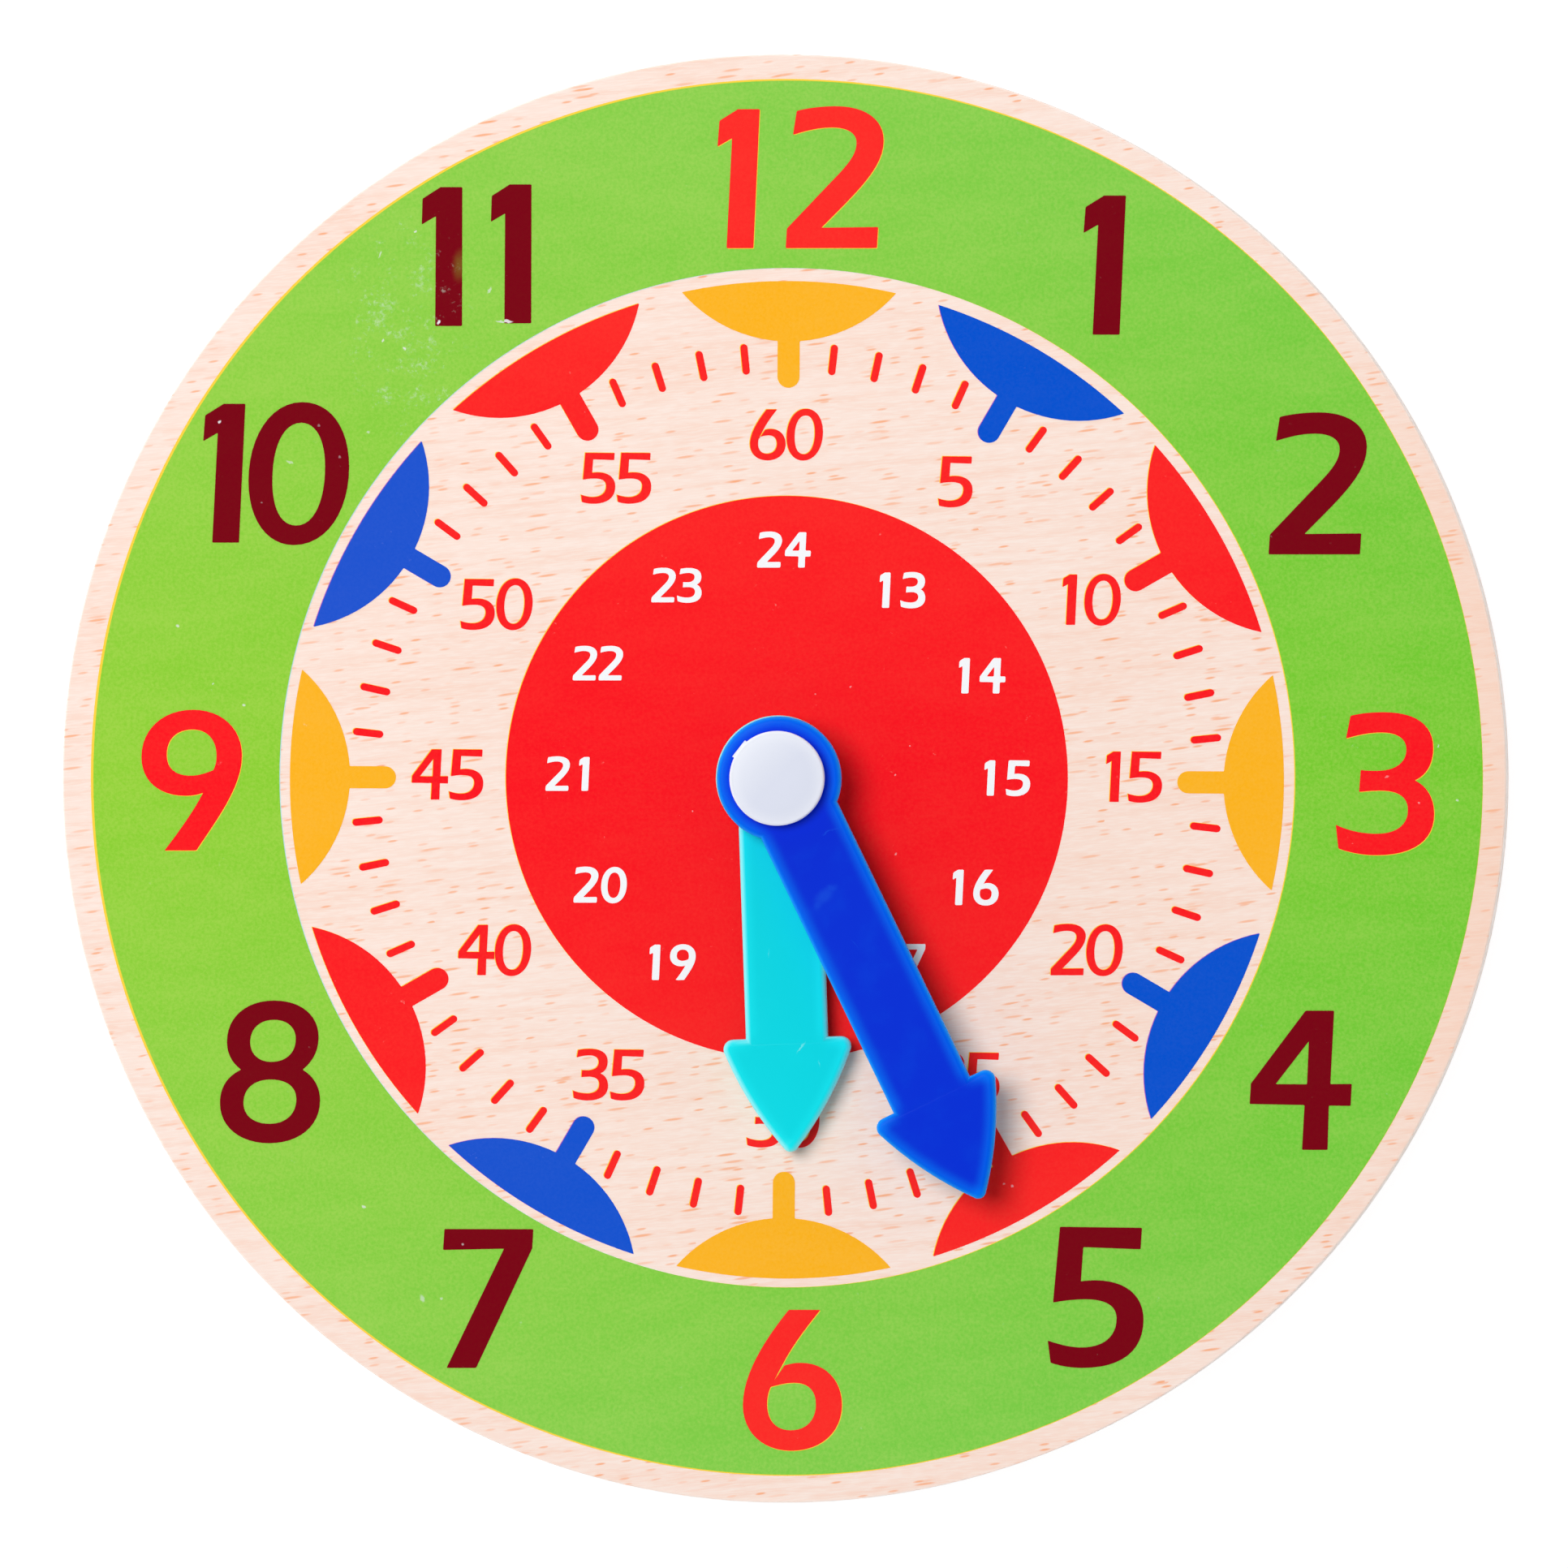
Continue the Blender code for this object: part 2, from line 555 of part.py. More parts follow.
def build_rivet(collection, cutters):
    """A domed cap with a hollow barrel, and a lock whose split pin snaps into the barrel's groove."""
    bore = BARREL_RADIUS - BARREL_WALL
    pin = bore - PIN_FIT
    barb = pin + BARB_PROUD
    bore_top = CAP_BOTTOM - CAP_ROOF
    pin_top = bore_top - PIN_TOP_CLEARANCE
    barb_height = pin_top - PIN_TIP_LENGTH
    groove = barb + GROOVE_CLEARANCE
    groove_bottom = barb_height - BARB_UNDERCUT - GROOVE_PLAY
    groove_top = barb_height + 2 * GROOVE_PLAY
    barrel_end = LOCK_TOP + SEAT_GAP

    edge_top = CAP_BOTTOM + CAP_EDGE
    dome_radius = (CAP_RADIUS ** 2 + CAP_DOME ** 2) / (2 * CAP_DOME)
    dome_angle = math.asin(CAP_RADIUS / dome_radius)
    dome_centre = edge_top + CAP_DOME - dome_radius
    dome_angles = [dome_angle * k / CURVE_STEPS for k in range(CURVE_STEPS + 1)]
    dome = [(dome_radius * math.sin(a), dome_centre + dome_radius * math.cos(a)) for a in dome_angles]
    cap_profile = dome + [
        (CAP_RADIUS, CAP_BOTTOM), (BARREL_RADIUS, CAP_BOTTOM), (BARREL_RADIUS, barrel_end),
        (bore, barrel_end), (bore, groove_bottom), (groove, groove_bottom), (groove, groove_top),
        (bore, groove_top), (bore, bore_top), (0, bore_top)]
    turned("rivet_cap", cap_profile, RIVET_STEPS, "white_plastic", collection, closed=False)

    lock_profile = [
        (0, pin_top), (pin - PIN_TIP_TAPER, pin_top), (barb, barb_height),
        (pin, barb_height - BARB_UNDERCUT), (pin, LOCK_TOP), (LOCK_RADIUS, LOCK_TOP),
        (LOCK_RADIUS, LOCK_RECESS + LOCK_EDGE_ROUND), (LOCK_RADIUS - LOCK_EDGE_ROUND, LOCK_RECESS),
        (0, LOCK_RECESS)]
    lock = turned("rivet_lock", lock_profile, RIVET_STEPS, "white_plastic", collection, closed=False)
    slot_bottom = LOCK_TOP + PIN_SLOT_FOOT
    slot_top = pin_top + CUT_OVERRUN
    slot_mesh = bpy.data.meshes.new("pin_slot_cutter")
    block = bmesh.new()
    bmesh.ops.create_cube(block, size=1)
    size = Vector((PIN_SLOT_WIDTH, 2 * (barb + CUT_OVERRUN), slot_top - slot_bottom))
    bmesh.ops.scale(block, vec=size, verts=block.verts)
    block.to_mesh(slot_mesh)
    block.free()
    slot = bpy.data.objects.new("pin_slot_cutter", slot_mesh)
    slot.location.z = (slot_top + slot_bottom) / 2
    cutters.objects.link(slot)
    cut(lock, as_cutter(slot))


def main():
    for old in list(bpy.data.objects):
        bpy.data.objects.remove(old)
    clock = new_collection("wooden_teaching_clock")
    cutters = new_collection("cutters")
    build_board(clock)
    build_print(clock)
    build_hands_and_washers(clock, cutters)
    build_rivet(clock, cutters)


main()
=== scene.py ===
"""Wooden teaching clock, dressed for a close look.

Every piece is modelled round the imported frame, in metres. The dial faces +Z, the twelve lies towards +Y,
and the hands turn on Z. Heights count from the board's back face, radii from the hands' axis.
"""

import math
from functools import partial

import bpy
from mathutils import Matrix, Vector
from mathutils.geometry import interpolate_bezier


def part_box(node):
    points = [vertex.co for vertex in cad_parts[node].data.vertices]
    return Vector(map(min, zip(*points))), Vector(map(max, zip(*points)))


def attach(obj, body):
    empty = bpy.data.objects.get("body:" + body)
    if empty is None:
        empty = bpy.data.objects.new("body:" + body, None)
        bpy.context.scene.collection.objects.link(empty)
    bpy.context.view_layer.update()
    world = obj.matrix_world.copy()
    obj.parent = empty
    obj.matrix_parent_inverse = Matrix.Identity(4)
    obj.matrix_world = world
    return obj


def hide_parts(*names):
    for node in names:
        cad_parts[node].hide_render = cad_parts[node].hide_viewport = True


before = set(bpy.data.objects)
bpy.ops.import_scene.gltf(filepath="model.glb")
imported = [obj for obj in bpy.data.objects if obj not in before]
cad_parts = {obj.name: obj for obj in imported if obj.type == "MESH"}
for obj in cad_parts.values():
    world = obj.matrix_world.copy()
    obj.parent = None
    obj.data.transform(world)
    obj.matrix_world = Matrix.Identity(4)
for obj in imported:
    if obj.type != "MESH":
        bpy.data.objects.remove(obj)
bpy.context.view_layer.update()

bl_info = {
    "name": "Wooden teaching clock",
    "version": (1, 0, 0),
    "blender": (4, 5, 0),
    "location": "3D View > Sidebar > Clock",
    "description": "Builds the plies, the printed dial, the hands and the rivet of a teaching clock",
    "category": "Add Mesh",
}

MM = 0.001
WELD_DISTANCE = 0.001 * MM
SHARP_ANGLE = math.radians(35)

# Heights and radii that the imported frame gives
BOARD_RADIUS, _, DIAL_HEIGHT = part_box("face_veneer")[1]
VENEER_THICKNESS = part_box("back_veneer")[1].z
BAND_OUTER_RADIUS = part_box("hour_band_print")[1].x
CENTRE_DISC_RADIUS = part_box("centre_disc_print")[1].x
MARKER_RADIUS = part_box("marker_print_12")[1].y
WASHER_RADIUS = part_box("base_washer")[1].x
HOUR_HAND_BOTTOM, HOUR_HAND_TOP = [corner.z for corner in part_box("hour_hand")]
MINUTE_HAND_BOTTOM, MINUTE_HAND_TOP = [corner.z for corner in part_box("minute_hand")]
CAP_RADIUS, _, CAP_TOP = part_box("rivet_cap")[1]
LOCK_RADIUS, _, PIN_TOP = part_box("rivet_lock")[1]
LOCK_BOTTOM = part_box("rivet_lock")[0].z

# Ink lies in thin layers, the lowest one sunk a little into the wood
INK_SINK = 0.01 * MM
FILM_FOOT = DIAL_HEIGHT - INK_SINK
UNDERPRINT_TOP = DIAL_HEIGHT + 0.012 * MM
FILM_TOP = DIAL_HEIGHT + 0.03 * MM
OVERPRINT_FOOT = FILM_TOP - INK_SINK
KNOCKOUT_TOP = FILM_TOP + 0.008 * MM
NUMERAL_TOP = FILM_TOP + 0.025 * MM

# The print was put down a little off the axis, and its colours a little off each other
PRINT_SHIFT = Vector((0.41, 0.09)) * MM
YELLOW_SHIFT = Vector((-0.08, 0.05)) * MM
YELLOW_RING_SHIFT = Vector((-0.12, 0.03)) * MM
KNOCKOUT_SHIFT = Vector((0.07, -0.06)) * MM
CYAN_SHIFT = Vector((0.09, -0.02)) * MM
MAGENTA_SHIFT = Vector((-0.07, 0.02)) * MM
MARKER_SHIFT = Vector((-0.05, -0.21)) * MM
STROKE_SHIFT = Vector((-0.04, -0.24)) * MM
NO_SHIFT = Vector((0, 0))
MARKER_TURN = math.radians(0.33)
STROKE_TURN = math.radians(0.39)

# A softened corner takes up at most this share of the sides that meet there
LONGEST_SOFTENING = 0.45

# Slips of the lower inks reach this far under the upper ones, and the yellow shows this far past the green
SLIP_WIDTH = 2 * MM
YELLOW_RIM = 0.15 * MM
DISC_HOLE_CLEARANCE = 0.5 * MM

# How far from a corner ink starts to round it, and how much bolder than its outline a numeral prints, as
# a share of its height. Below zero it prints finer
MARKER_SOFTENING = 0.1 * MM
HOUR_SOFTENING = 0.12 * MM
MINUTE_SOFTENING = 0.05 * MM
AFTERNOON_SOFTENING = 0.14 * MM
MINUTE_SWELL = -0.008
AFTERNOON_SWELL = 0.006

# Fits and small shapes of the stack on the rivet
STACK_GAP = 0.04 * MM
BARREL_RADIUS = 2.5 * MM
BORE_RADIUS = 2.6 * MM
BARREL_BORE = 1.5 * MM
BARREL_END = 1.6 * MM
COUNTERBORE_RADIUS = 6.3 * MM
COUNTERBORE_DEPTH = 1.6 * MM
GATE_ANGLE = math.radians(142)
WASHER_CHAMFER = 0.1 * MM
BARB_HEIGHT = PIN_TOP - 1.0 * MM
PIN_RADIUS = BARREL_BORE - 0.1 * MM
FLANGE_TOP = 1.3 * MM
FLANGE_ROUNDING = 0.3 * MM

# The cap's top, from its middle outwards: radius, and drop below the highest point, in millimetres
CAP_DOME = [(0.0, 0.03), (1.3, 0.01), (2.1, 0.0), (2.9, 0.02), (3.6, 0.06), (4.1, 0.10), (4.42, 0.14),
            (4.55, 0.15), (4.66, 0.14), (4.76, 0.17), (4.85, 0.24), (4.9, 0.35)]

# How deep the painted glow of light leaking in at the plastic's edges reaches
EDGE_GLOW_DEPTH = 1.6 * MM

# Facets
BOARD_STEPS = 256
RIVET_STEPS = 96
CURVE_STEPS = 12
FILLET_STEPS = 8
EDGE_STEPS = 5

# Sines and cosines over the quarter circle that rounds an edge
EDGE_TURN = [(math.sin(turn), math.cos(turn))
             for turn in [math.pi / 2 * step / EDGE_STEPS for step in range(EDGE_STEPS + 1)]]

# Dial layout
MARKER_HALF_ANGLE = math.radians(12.46)
HOUR_HAND_ANGLE = math.radians(178.05)
MINUTE_HAND_ANGLE = math.radians(154.15)

# Each hand and the cap hang off the axis by the play in their bores
HOUR_HAND_PLAY = Vector((-0.28, 0.10)) * MM
MINUTE_HAND_PLAY = Vector((0.08, 0.02)) * MM
RIVET_CAP_PLAY = Vector((0.0, 0.07)) * MM
HOUR_HAND_BORE = 3.0 * MM
MINUTE_HAND_BORE = 2.7 * MM

# The soft key light, high in the north-west: its distance and size in metres, and its power in watts
KEY_AZIMUTH, KEY_ELEVATION = math.radians(144), math.radians(68)
KEY_DISTANCE, KEY_SIZE, KEY_POWER = 2.2, 1.31, 34.2

# How bright the surroundings are near the horizon and overhead, and the heights between which that changes
HORIZON_LIGHT, OVERHEAD_LIGHT = 2.2, 0.26
HORIZON_HEIGHT, OVERHEAD_HEIGHT = 0.05, 0.4

# How far the camera leans off the axis, its distance in metres, and its lens and sensor in millimetres
CAMERA_EAST, CAMERA_NORTH = math.radians(4.8), math.radians(0.3)
CAMERA_DISTANCE, CAMERA_LENS, CAMERA_SENSOR = 3.0, 665.0, 36.0
CAMERA_NEAR, CAMERA_FAR = 0.01, 20.0
CAMERA_TARGET = Vector((0.135 * MM, -0.555 * MM, DIAL_HEIGHT))
FLOOR_SIZE = 6.0

# Scuffs and chips: a fine ragged edge, and the strip in which the fine scuffs lie
MARK_GRAIN = 0.35 * MM
MARK_WANDER = 0.35 * MM
SCUFF_MIDDLE = (-39.3 * MM, 47.0 * MM, DIAL_HEIGHT)
SCUFF_REACH = (8.5 * MM, 14.0 * MM, 1.0)

# Each mark: the east and north of its middle, its slope in degrees, its length and width, and its depth,
# where 1 hides the ink. Places and sizes are in millimetres
INK_MARKS = {
    "green": [(-38.2, 56.7, 20, 0.5, 0.3, 0.8), (-41.6, 45.4, 60, 0.5, 0.25, 0.7),
              (-39.3, 44.6, -50, 0.5, 0.3, 0.8), (-41.9, 54.3, 70, 1.0, 0.2, 0.5),
              (-36.5, 37.6, 30, 0.5, 0.2, 0.6), (-28.8, 47.9, 80, 0.8, 0.25, 0.5),
              (-30.5, 50.6, 60, 0.9, 0.3, 0.5), (-29.3, 47.35, -5, 1.3, 0.25, 0.6),
              (-35.2, 52.8, 75, 1.2, 0.3, 0.45), (68.0, 3.4, 70, 0.5, 0.25, 0.5),
              (70.0, -2.2, 0, 0.35, 0.3, 0.5), (5.9, -64.1, 80, 0.4, 0.3, 0.6),
              (-63.0, 15.8, 0, 0.4, 0.3, 0.6), (-56.1, 7.6, 0, 0.4, 0.3, 0.6),
              (-59.3, 9.8, 0, 0.3, 0.3, 0.5), (-51.3, 32.8, -20, 1.0, 0.4, 0.4),
              (-43.1, 35.9, 0, 0.4, 0.25, 0.4), (-37.5, -53.9, -70, 1.0, 0.5, 0.4),
              (-35.5, -53.9, 0, 0.4, 0.3, 0.4), (-43.6, -44.4, 0, 0.5, 0.4, 0.6)],
    "red": [(7.1, 9.5, 50, 0.4, 0.2, 0.3), (3.4, 8.8, 0, 0.25, 0.2, 0.25), (11.7, 0.4, -30, 0.3, 0.2, 0.35),
            (-9.4, -3.4, 0, 0.25, 0.2, 0.35), (11.8, -7.8, 40, 0.4, 0.2, 0.35),
            (13.2, 3.4, -30, 0.25, 0.2, 0.3), (62.7, 0.2, 20, 0.6, 0.3, 0.25),
            (66.0, -2.5, 0, 0.3, 0.3, 0.3), (23.0, -41.95, 0, 0.35, 0.3, 0.35),
            (23.85, -42.2, 0, 0.35, 0.3, 0.35)],
    "maroon": [(-35.8, 47.3, 60, 0.6, 0.35, 1.0), (-28.7, 47.4, -5, 1.5, 0.36, 0.85),
               (-58.6, 37.0, 0, 0.4, 0.4, 0.9), (-36.2, 50.9, 80, 0.7, 0.3, 0.6),
               (-29.0, 50.4, 85, 0.5, 0.2, 0.5), (-48.3, 36.6, 0, 0.35, 0.3, 0.22),
               (-46.1, 33.3, 0, 0.35, 0.3, 0.22), (-54.2, 28.6, 0, 0.35, 0.3, 0.2),
               (-33.3, -48.3, 0, 0.4, 0.3, 0.4)],
}

# Where an ink is rubbed until what lies under it shows
RUBBED_SPOTS = {"maroon": [(-33.6, 53.2, 86, 4.2, 2.0, 0.14)]}

# Scratches and dull spots on the hands, written the same way
BLUE_MARKS = [(4.8, -12.1, 40, 3.2, 1.9, 0.28), (5.5, -11.3, 15, 2.0, 1.2, 0.24),
              (4.2, -12.9, 70, 2.0, 1.3, 0.2), (5.1, -5.5, 35, 1.6, 0.26, 0.4),
              (5.9, -5.2, 20, 1.2, 0.22, 0.3), (8.0, -17.0, -50, 1.6, 0.1, 0.35)]
TURQUOISE_MARKS = [(2.17, -27.8, 54, 1.8, 0.3, 0.75), (4.05, -29.5, 100, 0.9, 0.2, 0.35),
                   (-1.2, -18.0, 80, 1.2, 0.1, 0.4)]

# What shows through each ink where it is thin, and how much of it
THIN_INKS = {
    "green": ("#F4F090", 0.14), "red": ("#FFE6A0", 0.016), "maroon": ("#92D243", 0.003),
    "blue": ("#C8DCF4", 0.012), "orange": ("#FFF0A0", 0.06), "white_ink": ("#F8C0C0", 0.06),
}

# How an ink's colour drifts over the dial: the way in which it grows, east, north and away from the middle
# line, where it starts in band radii, the colour that it drifts to and its share at the band's edge
INK_DRIFTS = {
    # Painted light: the green's first drift grows paler and yellower towards the west, the key light's side
    "green": [((-1.0, 0.2, 0.0), -1.0, "#F4F050", 0.134), ((0.0, 0.0, 1.0), 0.0, "#88D8D0", 0.06)],
    "red": [((0.0, 0.0, 1.0), 0.0, "#FF6040", 0.17)],
    "blue": [((-1.0, 0.0, 0.0), 0.0, "#A070D0", 0.06)],
}

# Where each hour numeral's middle lies, east and north, in millimetres
HOUR_PLACES = {
    1: (33.03, 53.06), 2: (55.11, 30.32), 3: (62.08, -0.58),
    4: (53.35, -31.26), 5: (32.09, -53.66), 6: (0.6, -62.31),
    7: (-31.05, -54.0), 8: (-53.78, -30.53), 9: (-61.94, -0.37),
    10: (-53.13, 31.57), 11: (-32.18, 54.29), 12: (1.45, 62.05),
}

# Where each minute numeral's middle lies, east and north, in millimetres
MINUTE_PLACES = {
    5: (17.5, 30.68), 10: (31.66, 18.44), 15: (36.06, 0.12),
    20: (31.13, -17.82), 25: (18.44, -31.04), 30: (-0.4, -35.62),
    35: (-18.54, -30.77), 40: (-30.4, -17.87), 45: (-35.31, 0.33),
    50: (-30.2, 17.99), 55: (-17.76, 31.07), 60: (-0.04, 35.55),
}

# Where each afternoon hour's middle lies, east and north, in millimetres
AFTERNOON_PLACES = {
    13: (12.05, 19.43), 14: (20.33, 10.57), 15: (22.93, -0.01),
    16: (19.65, -11.34), 17: (12.17, -19.04), 18: (-0.2, -23.5),
    19: (-11.84, -19.13), 20: (-19.38, -11.12), 21: (-22.79, 0.39),
    22: (-19.63, 11.84), 23: (-11.46, 19.93), 24: (-0.27, 23.6),
}

# How far the second digit starts from the first, in shares of the numeral's height
HOUR_SPACING = {"10": 0.327, "11": 0.501, "12": 0.492}
MINUTE_SPACING = {"10": 0.427, "15": 0.419, "20": 0.702, "30": 0.719, "35": 0.731, "40": 0.723, "45": 0.733,
                  "60": 0.718}
AFTERNOON_SPACING = {"15": 0.611, "20": 0.796, "21": 0.971, "22": 0.745, "23": 0.740, "24": 0.798}
USUAL_MINUTE_SPACING = 0.706
TEENS_SPACING = 0.588

# The eleven's digits stand upright, where every other one leans, and its first digit sits lower
UPRIGHT_SHEAR = {"11": 0.044}
FIRST_DROP = {"11": 0.019}

# Three of the afternoon hours are lower than the rest, but no narrower
SQUASHED = {"21": 0.97, "22": 0.97, "23": 0.97}

# The digits' outlines, in thousandths of their height, from their left edge and their foot.
# A pair is a corner. Six numbers are a Bezier curve: two handles and its end.
DIGIT_OUTLINES = {
    "0": [
        [(391, 1012), (158, 1012, 0, 758, 0, 442), (0, 164, 135, -18, 327, -18),
         (571, -18, 729, 232, 729, 547), (729, 826, 594, 1012, 391, 1012)],
        [(383, 863), (489, 863, 555, 743, 555, 547), (555, 314, 481, 123, 346, 123),
         (233, 123, 173, 247, 173, 442), (173, 683, 248, 863, 383, 863)],
    ],
    "1": [
        [(148, 1000), (305, 1000), (259, 0), (65, 0), (105, 791), (0, 731), (14, 917)],
    ],
    "2": [
        [(80, 987), (173, 1011, 271, 1020, 364, 1020), (582, 1020, 707, 920, 707, 773),
         (707, 582, 529, 418, 258, 147), (667, 151), (658, 0), (0, 0), (9, 142), (302, 449),
         (431, 582, 513, 662, 511, 760), (509, 831, 440, 867, 333, 867), (236, 867, 147, 844, 53, 815)],
    ],
    "3": [
        [(106, 987), (182, 1006, 263, 1013, 345, 1013), (575, 1013, 701, 924, 701, 757),
         (701, 639, 649, 557, 568, 524), (657, 483, 708, 394, 708, 283), (708, 97, 567, -14, 293, -14),
         (197, -14, 100, 4, 19, 34), (0, 205), (85, 164, 189, 140, 293, 140), (427, 140, 519, 197, 519, 312),
         (519, 401, 453, 450, 323, 450), (271, 450, 219, 446, 168, 440), (180, 598),
         (226, 592, 263, 592, 297, 592), (427, 592, 508, 650, 508, 746), (508, 824, 441, 867, 330, 867),
         (241, 867, 160, 850, 74, 824)],
    ],
    "4": [
        [(403, 1000), (608, 1000), (581, 472), (735, 474), (727, 316), (570, 318), (561, 0), (377, 0),
         (395, 322), (0, 329), (9, 476)],
        [(426, 780), (413, 471), (187, 472)],
    ],
    "5": [
        [(88, 1000), (679, 994), (669, 839), (256, 854), (239, 608), (270, 613, 305, 616, 342, 616),
         (558, 616, 690, 510, 690, 334), (690, 107, 529, -14, 250, -14), (163, -14, 86, -1, 20, 23),
         (0, 182), (104, 147, 177, 133, 243, 133), (397, 133, 496, 209, 496, 341),
         (496, 429, 426, 479, 272, 479), (192, 479, 111, 469, 38, 455)],
    ],
    "6": [
        [(331, 1000), (559, 1000), (452, 866, 363, 751, 288, 610), (225, 491), (300, 599),
         (337, 611, 377, 619, 418, 619), (600, 619, 715, 491, 715, 316), (715, 120, 563, -14, 348, -14),
         (140, -14, 0, 120, 0, 313), (0, 536, 155, 781, 331, 1000)],
        [(201, 445), (259, 461, 314, 475, 370, 475), (474, 475, 527, 417, 527, 320),
         (527, 209, 459, 133, 344, 133), (236, 133, 175, 209, 175, 316), (175, 369, 184, 409, 201, 445)],
    ],
    "7": [
        [(10, 1000), (653, 1000), (645, 862), (239, 0), (25, 0), (441, 859), (0, 849)],
    ],
    "8": [
        [(392, 1014), (587, 1014, 714, 909, 714, 752), (714, 647, 669, 572, 598, 516),
         (676, 472, 725, 393, 725, 296), (725, 109, 572, -14, 355, -14), (146, -14, 0, 102, 0, 274),
         (0, 393, 56, 468, 153, 516), (86, 565, 51, 632, 51, 718), (51, 894, 191, 1014, 392, 1014)],
        [(392, 875), (490, 875, 549, 819, 549, 737), (549, 640, 482, 572, 370, 572),
         (280, 572, 219, 629, 219, 714), (219, 812, 288, 875, 392, 875)],
        [(366, 445), (490, 445, 553, 389, 553, 303), (553, 199, 478, 126, 359, 126),
         (239, 126, 170, 188, 170, 277), (170, 378, 247, 445, 366, 445)],
    ],
    "9": [
        [(166, 0), (397, 0), (542, 219, 728, 457, 728, 684), (728, 882, 579, 1014, 375, 1014),
         (155, 1014, 0, 874, 0, 673), (0, 502, 125, 394, 319, 394), (363, 394, 408, 401, 447, 416),
         (378, 286, 274, 137, 166, 0)],
        [(521, 579), (536, 610, 544, 643, 544, 681), (544, 800, 475, 872, 371, 872),
         (252, 872, 183, 800, 183, 692), (183, 591, 244, 539, 356, 539), (415, 539, 468, 558, 521, 579)],
    ],
}


def linear(code):
    """An sRGB hex colour as linear red, green, blue and alpha."""
    channels = [int(code[k:k + 2], 16) / 255 for k in (1, 3, 5)]
    return (*[c / 12.92 if c <= 0.04045 else ((c + 0.055) / 1.055) ** 2.4 for c in channels], 1.0)


# What a user may change

def length(name, description, millimetres):
    """A size, shown in the scene's units."""
    return bpy.props.FloatProperty(name=name, description=description, default=millimetres * MM, min=0.0,
                                   subtype="DISTANCE", unit="LENGTH", precision=5)


def tint(name, description, code):
    """A colour, shown as a swatch."""
    return bpy.props.FloatVectorProperty(name=name, description=description, default=linear(code),
                                         size=4, min=0.0, max=1.0, subtype="COLOR")


class ClockSizes(bpy.types.PropertyGroup):
    """The clock's sizes."""

    arris: length("Arris", "Radius of the board's sanded outer edge", 0.18)
    band_width: length("Hour band width", "Width of the green ring", 19.4)
    lens_depth: length("Marker lens depth", "Depth of a five minute marker's lens", 6.27)
    marker_length: length("Marker length", "Length of a five minute marker with its stem", 11.06)
    stem_width: length("Marker stem width", "Width of a five minute marker's stem", 2.3)
    stroke_inner: length("Stroke start", "Radius at which a minute stroke starts", 42.19)
    stroke_outer: length("Stroke end", "Radius at which a minute stroke ends", 45.36)
    stroke_width: length("Stroke width", "Width of a minute stroke", 0.75)
    hour_height: length("Hour numeral height", "Height of the numerals 1 to 12", 14.4)
    minute_height: length("Minute numeral height", "Height of the numerals 5 to 60", 5.3)
    afternoon_height: length("Afternoon numeral height", "Height of the numerals 13 to 24", 3.62)
    hand_edge: length("Hand edge", "Rounding of the moulded hands' edges", 0.6)
    hour_shaft: length("Hour hand shaft width", "Width of the hour hand's shaft", 8.5)
    minute_shaft: length("Minute hand shaft width", "Width of the minute hand's shaft", 8.73)
    hub_radius: length("Hub radius", "Radius of a hand's round hub", 6.45)
    hour_shoulder: length("Hour hand shoulder", "Where the hour hand's arrow head starts", 26.93)
    minute_shoulder: length("Minute hand shoulder", "Where the minute hand's arrow head starts", 36.3)
    head_length: length("Head length", "Length of an arrow head to its unrounded tip", 12.6)
    head_barb: length("Head barb", "How far the arrow head's barb stands out from the shaft", 3.13)
    head_bulge: length("Head bulge", "How far the arrow head's sides bow out", 0.45)
    barb_round: length("Barb rounding", "Radius of the arrow head's barbs", 1.03)
    tip_round: length("Tip rounding", "Radius of the arrow head's tip", 0.8)


class ClockColours(bpy.types.PropertyGroup):
    """The clock's colours."""

    beech: tint("Beech", "Pale sanded beech veneer", "#FCE5D9")
    beech_streak: tint("Beech streak", "Growth streaks in the veneer", "#FAD8C7")
    beech_fleck: tint("Beech fleck", "Medullary flecks in the veneer", "#FAA064")
    # Painted light: the core and its lines are near white, paler than end grain, to light the board's shaded
    # edge
    core: tint("Core", "The plywood's cross ply", "#FAF4F2")
    core_line: tint("Core line", "Growth lines in the cross ply", "#EADCD2")
    green: tint("Green", "Hour band", "#70CB2C")
    red: tint("Red", "Centre disc, strokes and numerals", "#FE1020")
    maroon: tint("Maroon", "Hour numerals", "#7A0014")
    orange: tint("Orange", "Markers at 12, 3, 6 and 9", "#FEB41C")
    blue: tint("Blue", "Markers at 1, 4, 7 and 10", "#0052D0")
    white_ink: tint("White ink", "Afternoon numerals", "#F8FBFE")
    yellow: tint("Yellow", "Yellow ink where it peeps out from under the others", "#FFD540")
    cyan: tint("Cyan", "Cyan ink where it peeps out from under the green", "#BFE3EC")
    magenta: tint("Magenta", "Magenta ink where it peeps out from under the blue", "#C65FC0")
    turquoise: tint("Turquoise", "Hour hand", "#00D5E0")
    royal_blue: tint("Royal blue", "Minute hand", "#0028D4")
    white: tint("White", "Rivet and washers", "#DDE1F0")


# Shapes in the plane of the dial

def arc(centre, radius, start, end, steps):
    """Points on a circle from one angle to another, both ends included."""
    angles = [start + (end - start) * k / steps for k in range(steps + 1)]
    return [centre + radius * Vector((math.cos(a), math.sin(a))) for a in angles]


